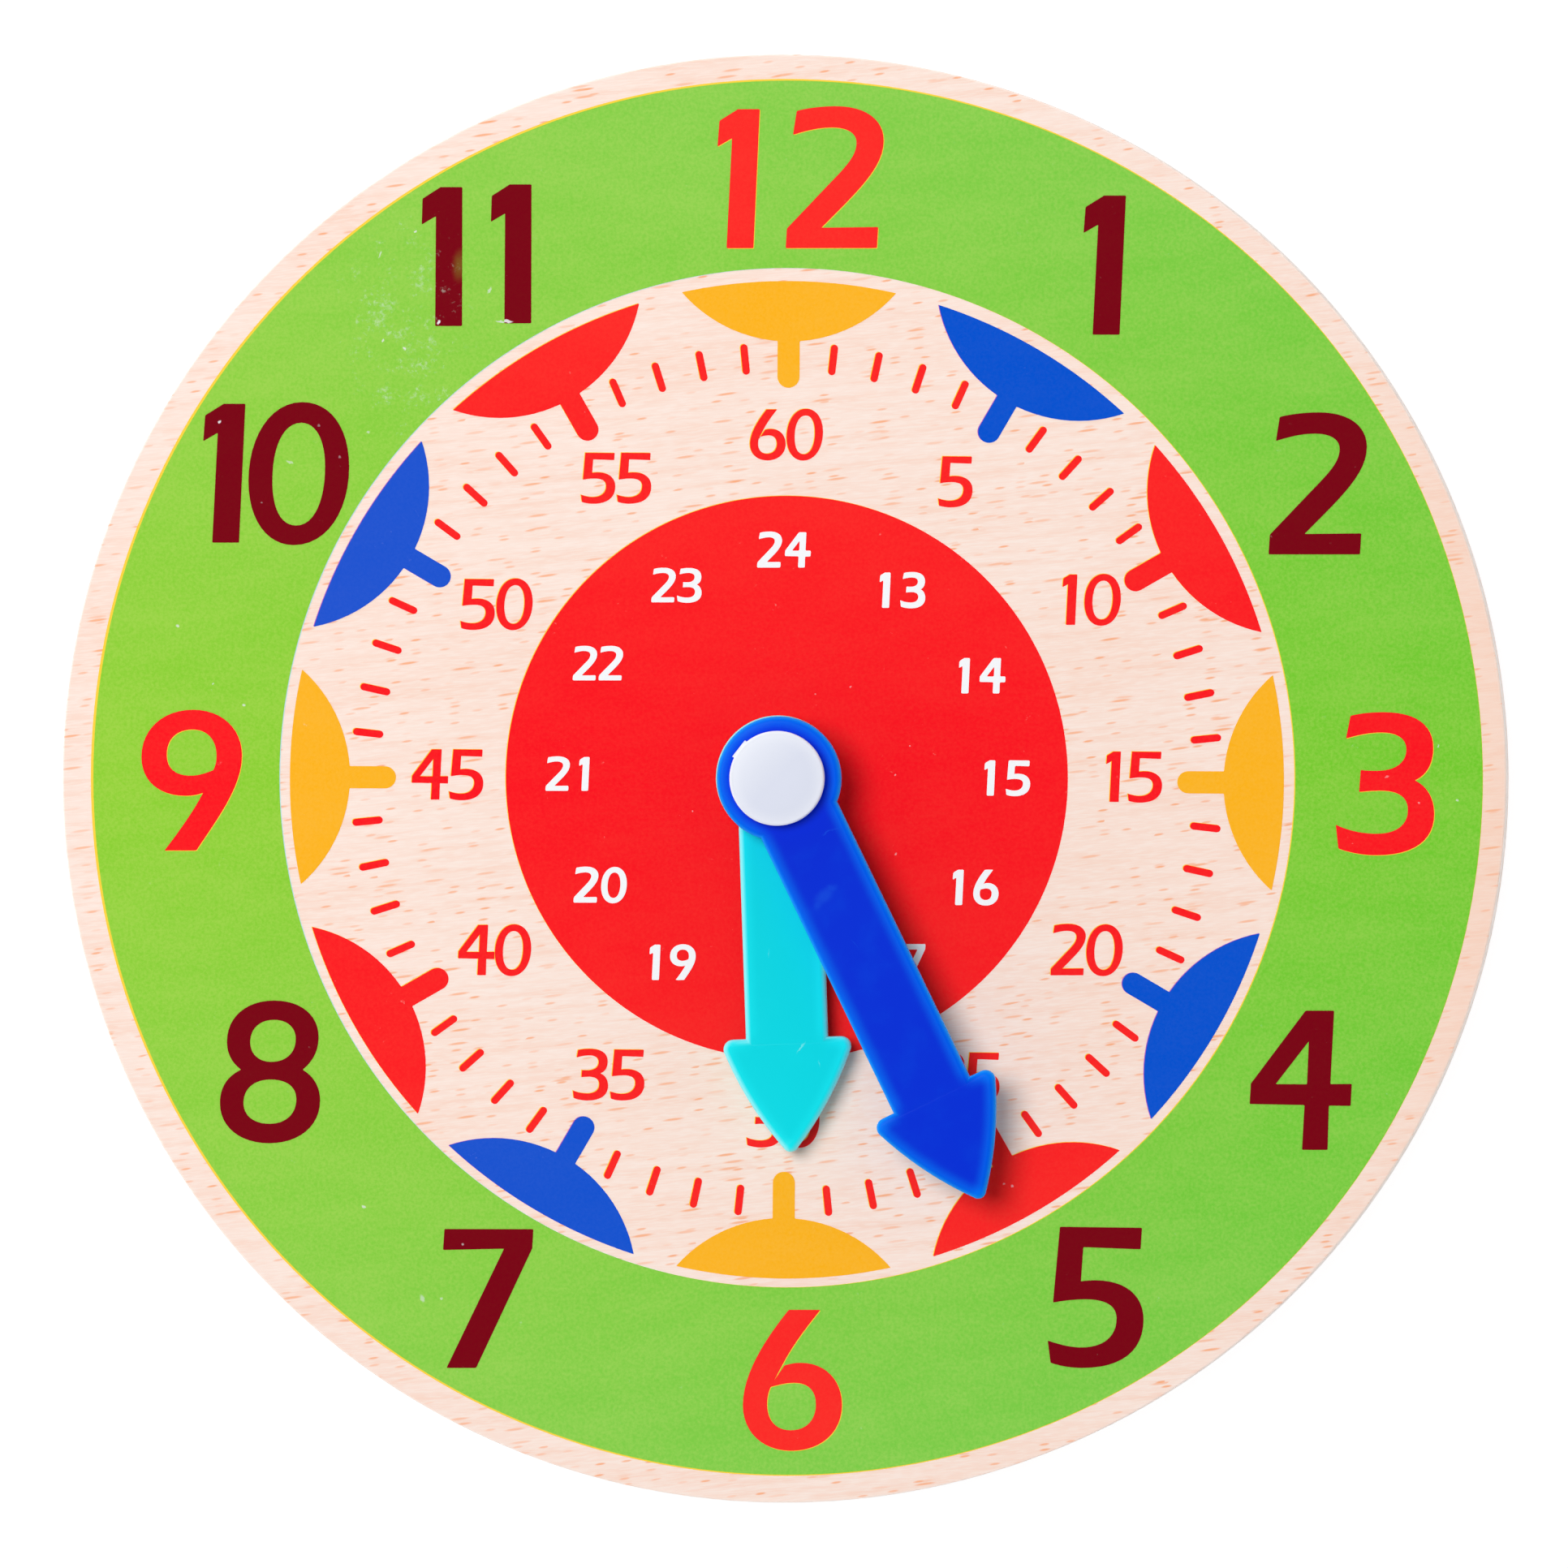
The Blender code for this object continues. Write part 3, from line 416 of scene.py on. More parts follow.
def fillet(before, corner, after, radius):
    """Points that round a corner between two straight sides."""
    back = (before - corner).normalized()
    ahead = (after - corner).normalized()
    half_angle = back.angle(ahead) / 2
    centre = corner + (back + ahead).normalized() * (radius / math.sin(half_angle))
    first = corner + back * (radius / math.tan(half_angle)) - centre
    turn = (math.pi - 2 * half_angle) * (1 if back.cross(ahead) < 0 else -1)
    start = math.atan2(first.y, first.x)
    return arc(centre, radius, start, start + turn, FILLET_STEPS)


def bowed(start, end, bulge, steps):
    """Points between two ends that bow out to the right of the way from start to end."""
    along = end - start
    right = Vector((along.y, -along.x)).normalized()
    shares = [k / steps for k in range(1, steps)]
    return [start + along * share + right * (4 * bulge * share * (1 - share)) for share in shares]


def softened(outline, reach):
    """An outline with its sharp corners rounded, as ink and moulds leave them."""
    soft = []
    for before, corner, after in zip(outline[-1:] + outline[:-1], outline, outline[1:] + outline[:1]):
        back, ahead = before - corner, after - corner
        if math.pi - back.angle(ahead) < SHARP_ANGLE:
            soft.append(corner)
            continue
        first = corner + back.normalized() * min(reach, back.length * LONGEST_SOFTENING)
        last = corner + ahead.normalized() * min(reach, ahead.length * LONGEST_SOFTENING)
        for share in (0.0, 0.33, 0.67, 1.0):
            soft.append(first.lerp(corner, share).lerp(corner.lerp(last, share), share))
    return soft


def moved(outlines, shift):
    """The outlines, shifted across the dial."""
    return [[point + shift for point in outline] for outline in outlines]


def swollen(outline, amount):
    """The outline moved outwards by an amount, with its corners kept sharp."""
    followers = outline[1:] + outline[:1]
    anticlockwise = sum(point.cross(follower) for point, follower in zip(outline, followers)) > 0
    side = amount if anticlockwise else -amount
    grown = []
    for before, corner, after in zip(outline[-1:] + outline[:-1], outline, followers):
        arriving = (corner - before).normalized()
        leaving = (after - corner).normalized()
        normals = Vector((arriving.y + leaving.y, -arriving.x - leaving.x))
        grown.append(corner + normals * (side / (1 + arriving.dot(leaving))))
    return grown


def turned_outline(outline, angle):
    """The outline, turned clockwise about the axis."""
    cosine, sine = math.cos(angle), math.sin(angle)
    return [Vector((p.x * cosine + p.y * sine, p.y * cosine - p.x * sine)) for p in outline]


def digit_outlines(digit, height, soft_reach, swell):
    """A digit's outlines at a height, from its left edge and its foot: its edge first, then its holes."""
    outlines = []
    for outline in DIGIT_OUTLINES[digit]:
        strokes = [[thousandths / 1000 for thousandths in stroke] for stroke in outline]
        points = [Vector(strokes[0])]
        for stroke in strokes[1:]:
            if len(stroke) == 2:
                points.append(Vector(stroke))
                continue
            handles = [Vector(stroke[0:2]), Vector(stroke[2:4]), Vector(stroke[4:6])]
            points += interpolate_bezier(points[-1], *handles, CURVE_STEPS + 1)[1:]
        if (points[0] - points[-1]).length < WELD_DISTANCE:
            points.pop()
        grown = swollen([point * height for point in points], -swell if outlines else swell)
        outlines.append(softened(grown, soft_reach))
    return outlines


def number_outlines(text, height, spacing, middle, soft_reach, swell=0.0):
    """A number's outlines, with the middle of its box at a place on the dial."""
    drop = Vector((0, FIRST_DROP.get(text, 0) * height))
    outlines = moved(digit_outlines(text[0], height, soft_reach, swell), -drop)
    if len(text) == 2:
        second = Vector((spacing * height, 0))
        outlines += moved(digit_outlines(text[1], height, soft_reach, swell), second)
    shear, squash = UPRIGHT_SHEAR.get(text, 0), SQUASHED.get(text, 1)
    outlines = [[Vector((p.x - shear * (p.y - height / 2), p.y * squash)) for p in outline]
                for outline in outlines]
    width = max(point.x for outline in outlines for point in outline)
    return moved(outlines, middle - Vector((width, height * squash)) / 2)


def marker_outline(sizes):
    """One five minute marker at the twelve: a lens on a round-ended stem that points inwards."""
    half_width = MARKER_RADIUS * math.sin(MARKER_HALF_ANGLE)
    chord = MARKER_RADIUS * math.cos(MARKER_HALF_ANGLE)
    sagitta = chord - (MARKER_RADIUS - sizes.lens_depth)
    lens_radius = (half_width ** 2 + sagitta ** 2) / (2 * sagitta)
    lens_centre = Vector((0, MARKER_RADIUS - sizes.lens_depth + lens_radius))
    stem = sizes.stem_width / 2
    stem_end = Vector((0, MARKER_RADIUS - sizes.marker_length + stem))
    corner_angle = math.atan2(chord - lens_centre.y, half_width)
    stem_angle = -math.acos(stem / lens_radius)
    points = arc(Vector((0, 0)), MARKER_RADIUS, math.pi / 2 + MARKER_HALF_ANGLE,
                 math.pi / 2 - MARKER_HALF_ANGLE, 2 * CURVE_STEPS)
    points += arc(lens_centre, lens_radius, corner_angle, stem_angle, CURVE_STEPS)[1:]
    points += arc(stem_end, stem, 0, -math.pi, 2 * FILLET_STEPS)
    points += arc(lens_centre, lens_radius, -math.pi - stem_angle, -math.pi - corner_angle, CURVE_STEPS)[:-1]
    return points


def stroke_outline(sizes):
    """One minute stroke at the twelve, with round ends."""
    half = sizes.stroke_width / 2
    top = Vector((0, sizes.stroke_outer - half))
    foot = Vector((0, sizes.stroke_inner + half))
    return arc(top, half, math.pi, 0, FILLET_STEPS) + arc(foot, half, 0, -math.pi, FILLET_STEPS)


def hand_outline(sizes, shaft, shoulder):
    """A hand that points along +Y: a round hub, a straight shaft and an arrow head with full sides."""
    half_shaft = shaft / 2
    half_head = half_shaft + sizes.head_barb
    apex = Vector((0, shoulder + sizes.head_length))
    right_barb = Vector((half_head, shoulder))
    right_neck = Vector((half_shaft, shoulder))
    hub_angle = math.acos(half_shaft / sizes.hub_radius)
    barb = fillet(right_neck, right_barb, apex, sizes.barb_round)
    tip = fillet(right_barb, apex, Vector((-half_head, shoulder)), sizes.tip_round)
    right_side = [right_neck] + barb + bowed(barb[-1], tip[0], sizes.head_bulge, CURVE_STEPS)
    left_side = [Vector((-point.x, point.y)) for point in reversed(right_side)]
    hub = arc(Vector((0, 0)), sizes.hub_radius, math.pi - hub_angle, math.tau + hub_angle, 6 * CURVE_STEPS)
    return right_side + tip + left_side + hub


# Making pieces

def pick(piece):
    """Makes the piece the only one that operators act on."""
    bpy.ops.object.select_all(action="DESELECT")
    piece.select_set(True)
    bpy.context.view_layer.objects.active = piece


def close_mesh():
    """Ends the editing of a mesh: merges doubled points, turns faces outwards and shades curves smooth."""
    bpy.ops.mesh.select_all(action="SELECT")
    bpy.ops.mesh.remove_doubles(threshold=WELD_DISTANCE)
    bpy.ops.mesh.normals_make_consistent(inside=False)
    bpy.ops.object.mode_set(mode="OBJECT")
    bpy.ops.object.shade_smooth_by_angle(angle=SHARP_ANGLE)


def turned(name, section, steps, closed=True):
    """A turned piece: its section is drawn corner by corner, then spun round the clock's axis."""
    radius, height = section[0]
    bpy.ops.object.select_all(action="DESELECT")
    bpy.ops.mesh.primitive_plane_add(size=MM, location=(radius, 0, height))
    piece = bpy.context.object
    piece.name = name
    piece.data.name = name
    bpy.ops.object.transform_apply(location=True, rotation=True, scale=True)
    bpy.ops.object.mode_set(mode="EDIT")
    bpy.ops.mesh.select_all(action="SELECT")
    bpy.ops.mesh.merge(type="CENTER")
    for next_radius, next_height in section[1:] + (section[:1] if closed else []):
        step = (next_radius - radius, 0, next_height - height)
        bpy.ops.mesh.extrude_vertices_move(TRANSFORM_OT_translate={"value": step})
        radius, height = next_radius, next_height
    bpy.ops.mesh.select_all(action="SELECT")
    bpy.ops.mesh.spin(steps=steps, angle=math.tau, center=(0, 0, 0), axis=(0, 0, 1))
    close_mesh()
    return piece


def flat(name, outlines, bottom, top, edge_round=0.0):
    """A flat piece: its outlines are drawn as a curve that becomes a mesh, with round edges if asked."""
    curve = bpy.data.curves.new(name, "CURVE")
    curve.dimensions = "2D"
    curve.fill_mode = "BOTH"
    curve.extrude = (top - bottom) / 2 - edge_round
    curve.bevel_depth = edge_round
    curve.bevel_resolution = EDGE_STEPS
    curve.offset = -edge_round
    for outline in outlines:
        spline = curve.splines.new("POLY")
        spline.points.add(len(outline) - 1)
        for point, place in zip(spline.points, outline):
            point.co = (place.x, place.y, 0, 1)
        spline.use_cyclic_u = True
    piece = bpy.data.objects.new(name, curve)
    bpy.context.collection.objects.link(piece)
    pick(piece)
    bpy.ops.object.convert(target="MESH")
    bpy.ops.object.mode_set(mode="EDIT")
    close_mesh()
    piece.location.z = (top + bottom) / 2
    bpy.ops.object.transform_apply(location=True, rotation=True, scale=True)
    return piece


def block(place, size, turn=0.0):
    """A plain block, to be joined to a piece or cut out of it."""
    bpy.ops.object.select_all(action="DESELECT")
    bpy.ops.mesh.primitive_cube_add(size=1, location=place, rotation=(0, 0, turn), scale=size)
    return bpy.context.object


def apply_modifier(piece, kind, **settings):
    """Gives the piece a modifier with its settings, and applies it."""
    pick(piece)
    modifier = piece.modifiers.new(kind.title(), kind)
    for name, value in settings.items():
        setattr(modifier, name, value)
    bpy.ops.object.modifier_apply(modifier=modifier.name)


def combine(piece, tool, operation):
    """Joins a tool to a piece or cuts it away."""
    apply_modifier(piece, "BOOLEAN", operation=operation, solver="EXACT", object=tool)
    bpy.data.objects.remove(tool)
    bpy.ops.object.shade_smooth_by_angle(angle=SHARP_ANGLE)


def settle(piece, turn=0.0, shift=NO_SHIFT):
    """Turns the piece clockwise about the axis and shifts it across the dial, in its mesh."""
    pick(piece)
    piece.rotation_euler.z = -turn
    piece.location = (shift.x, shift.y, 0)
    bpy.ops.object.transform_apply(location=True, rotation=True, scale=True)


def fit(piece, material, body, nodes=()):
    """Gives a finished piece its material and its place in the frame."""
    piece.data.materials.clear()
    piece.data.materials.append(material)
    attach(piece, body)
    if nodes:
        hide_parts(*nodes)


# Materials

COLOUR_MIX = {"data_type": "RGBA"}
SMOOTH = {"interpolation_type": "SMOOTHSTEP"}
STRETCH = {"vector_type": "TEXTURE"}


def add_node(tree, kind, inputs=None, **settings):
    """Adds a node with its settings, and fills its inputs with values or with links from other nodes."""
    node = tree.nodes.new("ShaderNode" + kind)
    for name, value in settings.items():
        setattr(node, name, value)
    for key, value in (inputs or {}).items():
        named = [socket for socket in node.inputs if socket.enabled and socket.name == key]
        target = named[0] if named else node.inputs[key]
        if isinstance(value, bpy.types.Node):
            value = next(socket for socket in value.outputs if socket.enabled)
        if isinstance(value, bpy.types.NodeSocket):
            tree.links.new(value, target)
        else:
            target.default_value = value
    return node


def emptied(owner):
    """Empties the node tree of a material or a world, and gives the way to add nodes to it."""
    owner.use_nodes = True
    owner.node_tree.nodes.clear()
    return partial(add_node, owner.node_tree)


def new_material(name):
    """An empty node material, the way to add nodes to it, and its object coordinates."""
    material = bpy.data.materials.new(name)
    add = emptied(material)
    return material, add, add("TexCoord").outputs["Object"]


def tinted(add, tone, layers, interpolation="SMOOTHSTEP"):
    """Lays colours over a tone, each up to its share as its value goes from the start to the end."""
    for value, start, end, share, colour in layers:
        cover = add("MapRange", {"Value": value, "From Min": start, "From Max": end, "To Max": share},
                    interpolation_type=interpolation)
        tone = add("Mix", {"Factor": cover, "A": tone, "B": colour}, **COLOUR_MIX)
    return tone


def marked(add, place, tone, marks, core, code):
    """The tone with marks on it. Each mark is at its full depth inside its core, a share of its size."""
    if not marks:
        return tone
    ragged = add("TexNoise", {"Vector": place, "Scale": 1 / MARK_GRAIN, "Detail": 2.0})
    wander = add("VectorMath", {0: ragged.outputs["Color"], 1: (0.5, 0.5, 0.5)}, operation="SUBTRACT")
    rough_place = add("VectorMath", {0: wander, 1: (MARK_WANDER,) * 3, 2: place}, operation="MULTIPLY_ADD")
    cover = None
    for east, north, slope, along, across, depth in marks:
        local = add("Mapping", {
            "Vector": rough_place, "Location": (east * MM, north * MM, 0),
            "Rotation": (0, 0, math.radians(slope)),
            "Scale": (along / 2 * MM, across / 2 * MM, 1)}, **STRETCH)
        reach = add("VectorMath", {0: local}, operation="LENGTH").outputs["Value"]
        mark = add("MapRange", {
            "Value": reach, "From Min": 1.0, "From Max": core, "To Max": depth}, **SMOOTH)
        cover = mark if cover is None else add("Math", {0: cover, 1: mark}, operation="MAXIMUM")
    return add("Mix", {"Factor": cover, "A": tone, "B": linear(code)}, **COLOUR_MIX)


def coat(add, tone, roughness, gloss, relief, strength, depth):
    """Ends a material with the tone as its colour and a fine relief in its surface."""
    bump = add("Bump", {"Height": relief, "Strength": strength, "Distance": depth})
    shader = add("BsdfPrincipled", {
        "Base Color": tone, "Roughness": roughness, "Specular IOR Level": gloss, "Normal": bump})
    add("OutputMaterial", {"Surface": shader})


def beech_veneer(colours):
    """Sliced beech veneer, sanded and lacquered: pale, with faint streaks and short orange flecks."""
    material, add, place = new_material("sanded_beech_veneer")
    grain = {}
    for name, slope, along, across in (
            ("broad", 5, 70, 9), ("streak", 5, 16, 0.8), ("short fleck", 9, 2.7, 0.56),
            ("long fleck", 8, 5.2, 0.64), ("fibre", 5, 1.6, 0.16)):
        grain[name] = add("Mapping", {
            "Vector": place, "Rotation": (0, 0, math.radians(slope)),
            "Scale": (along * MM, across * MM, across * MM)}, **STRETCH)
    broad = add("TexNoise", {"Vector": grain["broad"], "Scale": 1.0, "Detail": 2.0})
    streaks = add("TexNoise", {"Vector": grain["streak"], "Scale": 1.0, "Detail": 4.0, "Roughness": 0.6})
    fibres = add("TexNoise", {"Vector": grain["fibre"], "Scale": 1.0, "Detail": 2.0})
    tone = tinted(add, colours.beech, [
        (streaks, 0.40, 0.74, 1.0, colours.beech_streak), (broad, 0.40, 0.72, 0.45, colours.beech_streak),
        (fibres, 0.42, 0.66, 0.38, linear("#FFF2EA"))])

    # Rays of the wood that the slice cuts across: each cell of a stretched grid has one fleck, or none
    for name, kept in (("short fleck", 0.74), ("long fleck", 0.8)):
        cells = add("TexVoronoi", {"Vector": grain[name], "Scale": 1.0}, voronoi_dimensions="2D")
        chance = add("SeparateColor", {"Color": cells.outputs["Color"]}).outputs
        shape = add("MapRange", {"Value": cells, "From Min": 0.27, "From Max": 0.1}, **SMOOTH)
        depth = add("MapRange", {"Value": chance["Green"], "To Min": 0.1, "To Max": 0.78})
        present = add("Math", {0: chance["Red"], 1: kept}, operation="GREATER_THAN")
        fleck = add("Math", {0: shape, 1: present}, operation="MULTIPLY")
        cover = add("Math", {0: fleck, 1: depth}, operation="MULTIPLY")
        tone = add("Mix", {"Factor": cover, "A": tone, "B": colours.beech_fleck}, **COLOUR_MIX)

    # Painted shade makes the face warmer and darker towards its east edge, and a painted highlight makes the
    # arris paler
    eastward = add("SeparateXYZ", {"Vector": place}).outputs["X"]
    across_dial = add("VectorMath", {0: place, 1: (1, 1, 0)}, operation="MULTIPLY")
    radius = add("VectorMath", {0: across_dial}, operation="LENGTH").outputs["Value"]
    tone = tinted(add, tone, [
        (eastward, 0.7 * BOARD_RADIUS, BOARD_RADIUS, 0.36, linear("#FCCBAE")),
        (radius, BOARD_RADIUS - 0.25 * MM, BOARD_RADIUS, 0.3, linear("#FFF8F2"))])
    roughness = add("MapRange", {"Value": streaks, "To Min": 0.55, "To Max": 0.75})
    coat(add, tone, roughness, 0.12, fibres, 0.2, 0.02 * MM)
    return material


def cross_ply(colours):
    """The sawn and sanded edge of the plywood's core: end grain, rougher than the face, with darker pores
    and lines; its near-white ground is painted light on the board's shaded edge.
    """
    material, add, place = new_material("sanded_plywood_core")
    layers = add("Mapping", {"Vector": place, "Scale": (3 * MM, 3 * MM, 0.25 * MM)}, **STRETCH)
    lines = add("TexNoise", {"Vector": layers, "Scale": 1.0, "Detail": 5.0})
    pores = add("TexNoise", {"Vector": place, "Scale": 1 / (0.3 * MM), "Detail": 2.0})
    tone = tinted(add, colours.core, [
        (lines, 0.35, 0.7, 1.0, colours.core_line), (pores, 0.58, 0.72, 0.5, linear("#C8A284"))])
    coat(add, tone, 0.8, 0.15, pores, 0.3, 0.05 * MM)
    return material


def screen_ink(name, colour, thin_code, thin_share, drifts, marks, rubbed):
    """Screen printed ink: matt, mottled by the mesh, thinner in clouds, and scuffed where hands rub it."""
    material, add, place = new_material(name)
    mottle = add("TexNoise", {"Vector": place, "Scale": 1 / (0.34 * MM), "Detail": 3.0, "Roughness": 0.7})
    stretched = add("Mapping", {
        "Vector": place, "Rotation": (0, 0, math.radians(5)), "Scale": (9 * MM, 3 * MM, 3 * MM)}, **STRETCH)
    cloud = add("TexNoise", {"Vector": stretched, "Scale": 1.0, "Detail": 2.0})
    thin = add("Math", {0: cloud, 1: 0.35, 2: mottle}, operation="MULTIPLY_ADD")
    split = add("SeparateXYZ", {"Vector": place}).outputs
    folded = add("Math", {0: split["Y"]}, operation="ABSOLUTE")
    ways = add("CombineXYZ", {"X": split["X"], "Y": split["Y"], "Z": folded})
    layers = [(thin, 0.5, 0.85, thin_share, linear(thin_code))]
    # The green's westward drift is painted light
    for way, start, code, share in drifts:
        along = add("VectorMath", {0: ways, 1: way}, operation="DOT_PRODUCT").outputs["Value"]
        layers.append((along, start * BAND_OUTER_RADIUS, BAND_OUTER_RADIUS, share, linear(code)))
    tone = tinted(add, colour, layers, "LINEAR")

    # Fine scuffs lie in clusters, thickest in a strip between the ten and the eleven
    strip = add("Mapping", {"Vector": place, "Location": SCUFF_MIDDLE, "Scale": SCUFF_REACH}, **STRETCH)
    reach = add("VectorMath", {0: strip}, operation="LENGTH").outputs["Value"]
    near = add("MapRange", {
        "Value": reach, "From Min": 0.3, "From Max": 1.2, "To Min": 0.24, "To Max": 0.0}, **SMOOTH)
    clusters = add("TexNoise", {"Vector": place, "Scale": 1 / (2.4 * MM), "Detail": 2.0})
    specks = add("TexNoise", {"Vector": place, "Scale": 1 / (0.45 * MM), "Detail": 3.0, "Roughness": 0.7})
    crowded = add("Math", {0: clusters, 1: 0.8, 2: near}, operation="MULTIPLY_ADD")
    together = add("Math", {0: crowded, 1: specks}, operation="ADD")
    tone = tinted(add, tone, [(together, 1.16, 1.5, 0.44, linear("#E4F0E0"))])
    for spots, core, code in ((rubbed, 0.0, thin_code), (marks, 0.45, "#F0EEF0")):
        tone = marked(add, place, tone, spots, core, code)
    coat(add, tone, 0.55, 0.02, mottle, 0.12, 0.02 * MM)
    return material


def moulded_plastic(name, colour, edge_glow_code, rim, paler, mark_code, marks):
    """Injection moulded polypropylene: satin, a little cloudy, with a painted glow where light leaks in at
    edges.

    The very rim, which light leaks through from both sides, is painted palest, as a painted rim light. Rim
    gives its colour, and how much wider it is where it leans west, towards the light, as a painted
    highlight.
    Paler gives the way, east and north, in which the piece grows paler, the reach, the colour and its share.
    """
    material, add, place = new_material(name)
    edge_glow_mask = add("AmbientOcclusion", {"Distance": EDGE_GLOW_DEPTH}, inside=True, samples=8).outputs["AO"]
    flow = add("TexNoise", {"Vector": place, "Scale": 1 / (3 * MM), "Detail": 3.0})
    texture = add("TexNoise", {"Vector": place, "Scale": 1 / (0.25 * MM), "Detail": 2.0})
    way, reach, paler_code, share = paler
    along = add("VectorMath", {0: place, 1: (*way, 0)}, operation="DOT_PRODUCT").outputs["Value"]
    # Painted glow: where the plastic is thin at its edges, its colour turns to the paler edge glow
    tone = tinted(add, colour, [
        (edge_glow_mask, 1.0, 0.5, 1.0, linear(edge_glow_code)),
        (along, 0.0, reach, share, linear(paler_code))], "LINEAR")
    tone = tinted(add, tone, [(flow, 0.45, 0.75, 0.06, linear(edge_glow_code))])
    # Painted rim light: where the normal tips over at the rim the colour is palest, and wider on the west,
    # towards the key light
    rim_light_code, west_light_lean = rim
    facing = add("SeparateXYZ", {"Vector": add("NewGeometry").outputs["Normal"]}).outputs
    west_lit_widening = add("MapRange", {"Value": facing["X"], "From Min": 0.0, "From Max": -1.0, "To Max": west_light_lean})
    level = add("Math", {0: facing["Z"], 1: west_lit_widening}, operation="SUBTRACT")
    tone = tinted(add, tone, [(level, 1.0, 0.45, 0.62, linear(rim_light_code))], "LINEAR")
    tone = marked(add, place, tone, marks, 0.2, mark_code)
    coat(add, tone, 0.26, 0.025, texture, 0.08, 0.02 * MM)
    return material


def finish(name, make, *settings):
    """The material of that name, made on its first use."""
    return bpy.data.materials.get(name) or make(*settings)


def ink(colours, which):
    """The ink of that colour. Where it is thin, yellow ink, green ink or pale wood shows through."""
    name = which + "_screen_ink"
    thin_code, thin_share = THIN_INKS.get(which, ("#FFF2E8", 0.02))
    return finish(name, screen_ink, name, getattr(colours, which), thin_code, thin_share,
                  INK_DRIFTS.get(which, []), INK_MARKS.get(which, []), RUBBED_SPOTS.get(which, []))


def choices(context):
    """The sizes and the colours that the user has chosen."""
    return context.scene.clock_sizes, context.scene.clock_colours


# Board

class CLOCK_OT_board(bpy.types.Operator):
    """Build the board: two beech veneers on a cross ply, with rounded arrises and the rivet's bore"""

    bl_idname = "clock.board"
    bl_label = "Board"

    def execute(self, context):
        sizes, colours = choices(context)
        arris, inset = sizes.arris, BOARD_RADIUS - sizes.arris
        core_top = DIAL_HEIGHT - VENEER_THICKNESS
        face = [(inset + arris * out, DIAL_HEIGHT - arris + arris * up) for out, up in EDGE_TURN]
        face += [(BOARD_RADIUS, core_top), (BORE_RADIUS, core_top), (BORE_RADIUS, DIAL_HEIGHT)]
        core = [(BOARD_RADIUS, core_top), (BOARD_RADIUS, VENEER_THICKNESS),
                (COUNTERBORE_RADIUS, VENEER_THICKNESS), (COUNTERBORE_RADIUS, COUNTERBORE_DEPTH),
                (BORE_RADIUS, COUNTERBORE_DEPTH), (BORE_RADIUS, core_top)]
        back = [(COUNTERBORE_RADIUS, VENEER_THICKNESS), (BOARD_RADIUS, VENEER_THICKNESS)]
        back += [(inset + arris * out, arris - arris * down) for out, down in reversed(EDGE_TURN)]
        back.append((COUNTERBORE_RADIUS, 0.0))
        beech = finish("sanded_beech_veneer", beech_veneer, colours)
        ply = finish("sanded_plywood_core", cross_ply, colours)
        fit(turned("beech_face_ply", face, BOARD_STEPS), beech, "board", ["face_veneer"])
        fit(turned("cross_ply_core", core, BOARD_STEPS), ply, "board", ["plywood_core"])
        fit(turned("beech_back_ply", back, BOARD_STEPS), beech, "board", ["back_veneer"])
        return {"FINISHED"}


# Print

def put_down(film, material, shift=NO_SHIFT, turn=0.0, nodes=()):
    """Puts a film of ink on the board, where the press has put it."""
    settle(film, turn, PRINT_SHIFT + shift)
    fit(film, material, "board", nodes)


class CLOCK_OT_grounds(bpy.types.Operator):
    """Print the green hour band and the red centre disc"""

    bl_idname = "clock.grounds"
    bl_label = "Hour band and centre disc"

    def execute(self, context):
        sizes, colours = choices(context)
        band_inner = BAND_OUTER_RADIUS - sizes.band_width
        for name, which, inner, outer, top, shift, nodes, slot in (
                ("hour_band_film", "green", band_inner, BAND_OUTER_RADIUS, FILM_TOP, NO_SHIFT,
                 ["hour_band_print"], "green_ink"),
                ("centre_disc_film", "red", BORE_RADIUS + DISC_HOLE_CLEARANCE, CENTRE_DISC_RADIUS, FILM_TOP,
                 NO_SHIFT, ["centre_disc_print"], "red_ink"),
                ("yellow_band_underprint", "yellow", band_inner, BAND_OUTER_RADIUS + YELLOW_RIM,
                 UNDERPRINT_TOP, YELLOW_RING_SHIFT, (), None),
                ("cyan_band_underprint", "cyan", band_inner, band_inner + SLIP_WIDTH, UNDERPRINT_TOP,
                 CYAN_SHIFT, (), None),
                ("yellow_disc_underprint", "yellow", CENTRE_DISC_RADIUS - SLIP_WIDTH, CENTRE_DISC_RADIUS,
                 UNDERPRINT_TOP, YELLOW_SHIFT, (), None)):
            section = [(outer, top), (outer, FILM_FOOT), (inner, FILM_FOOT), (inner, top)]
            ring = turned(name, section, BOARD_STEPS)
            put_down(ring, ink(colours, which), shift, nodes=nodes)
        return {"FINISHED"}


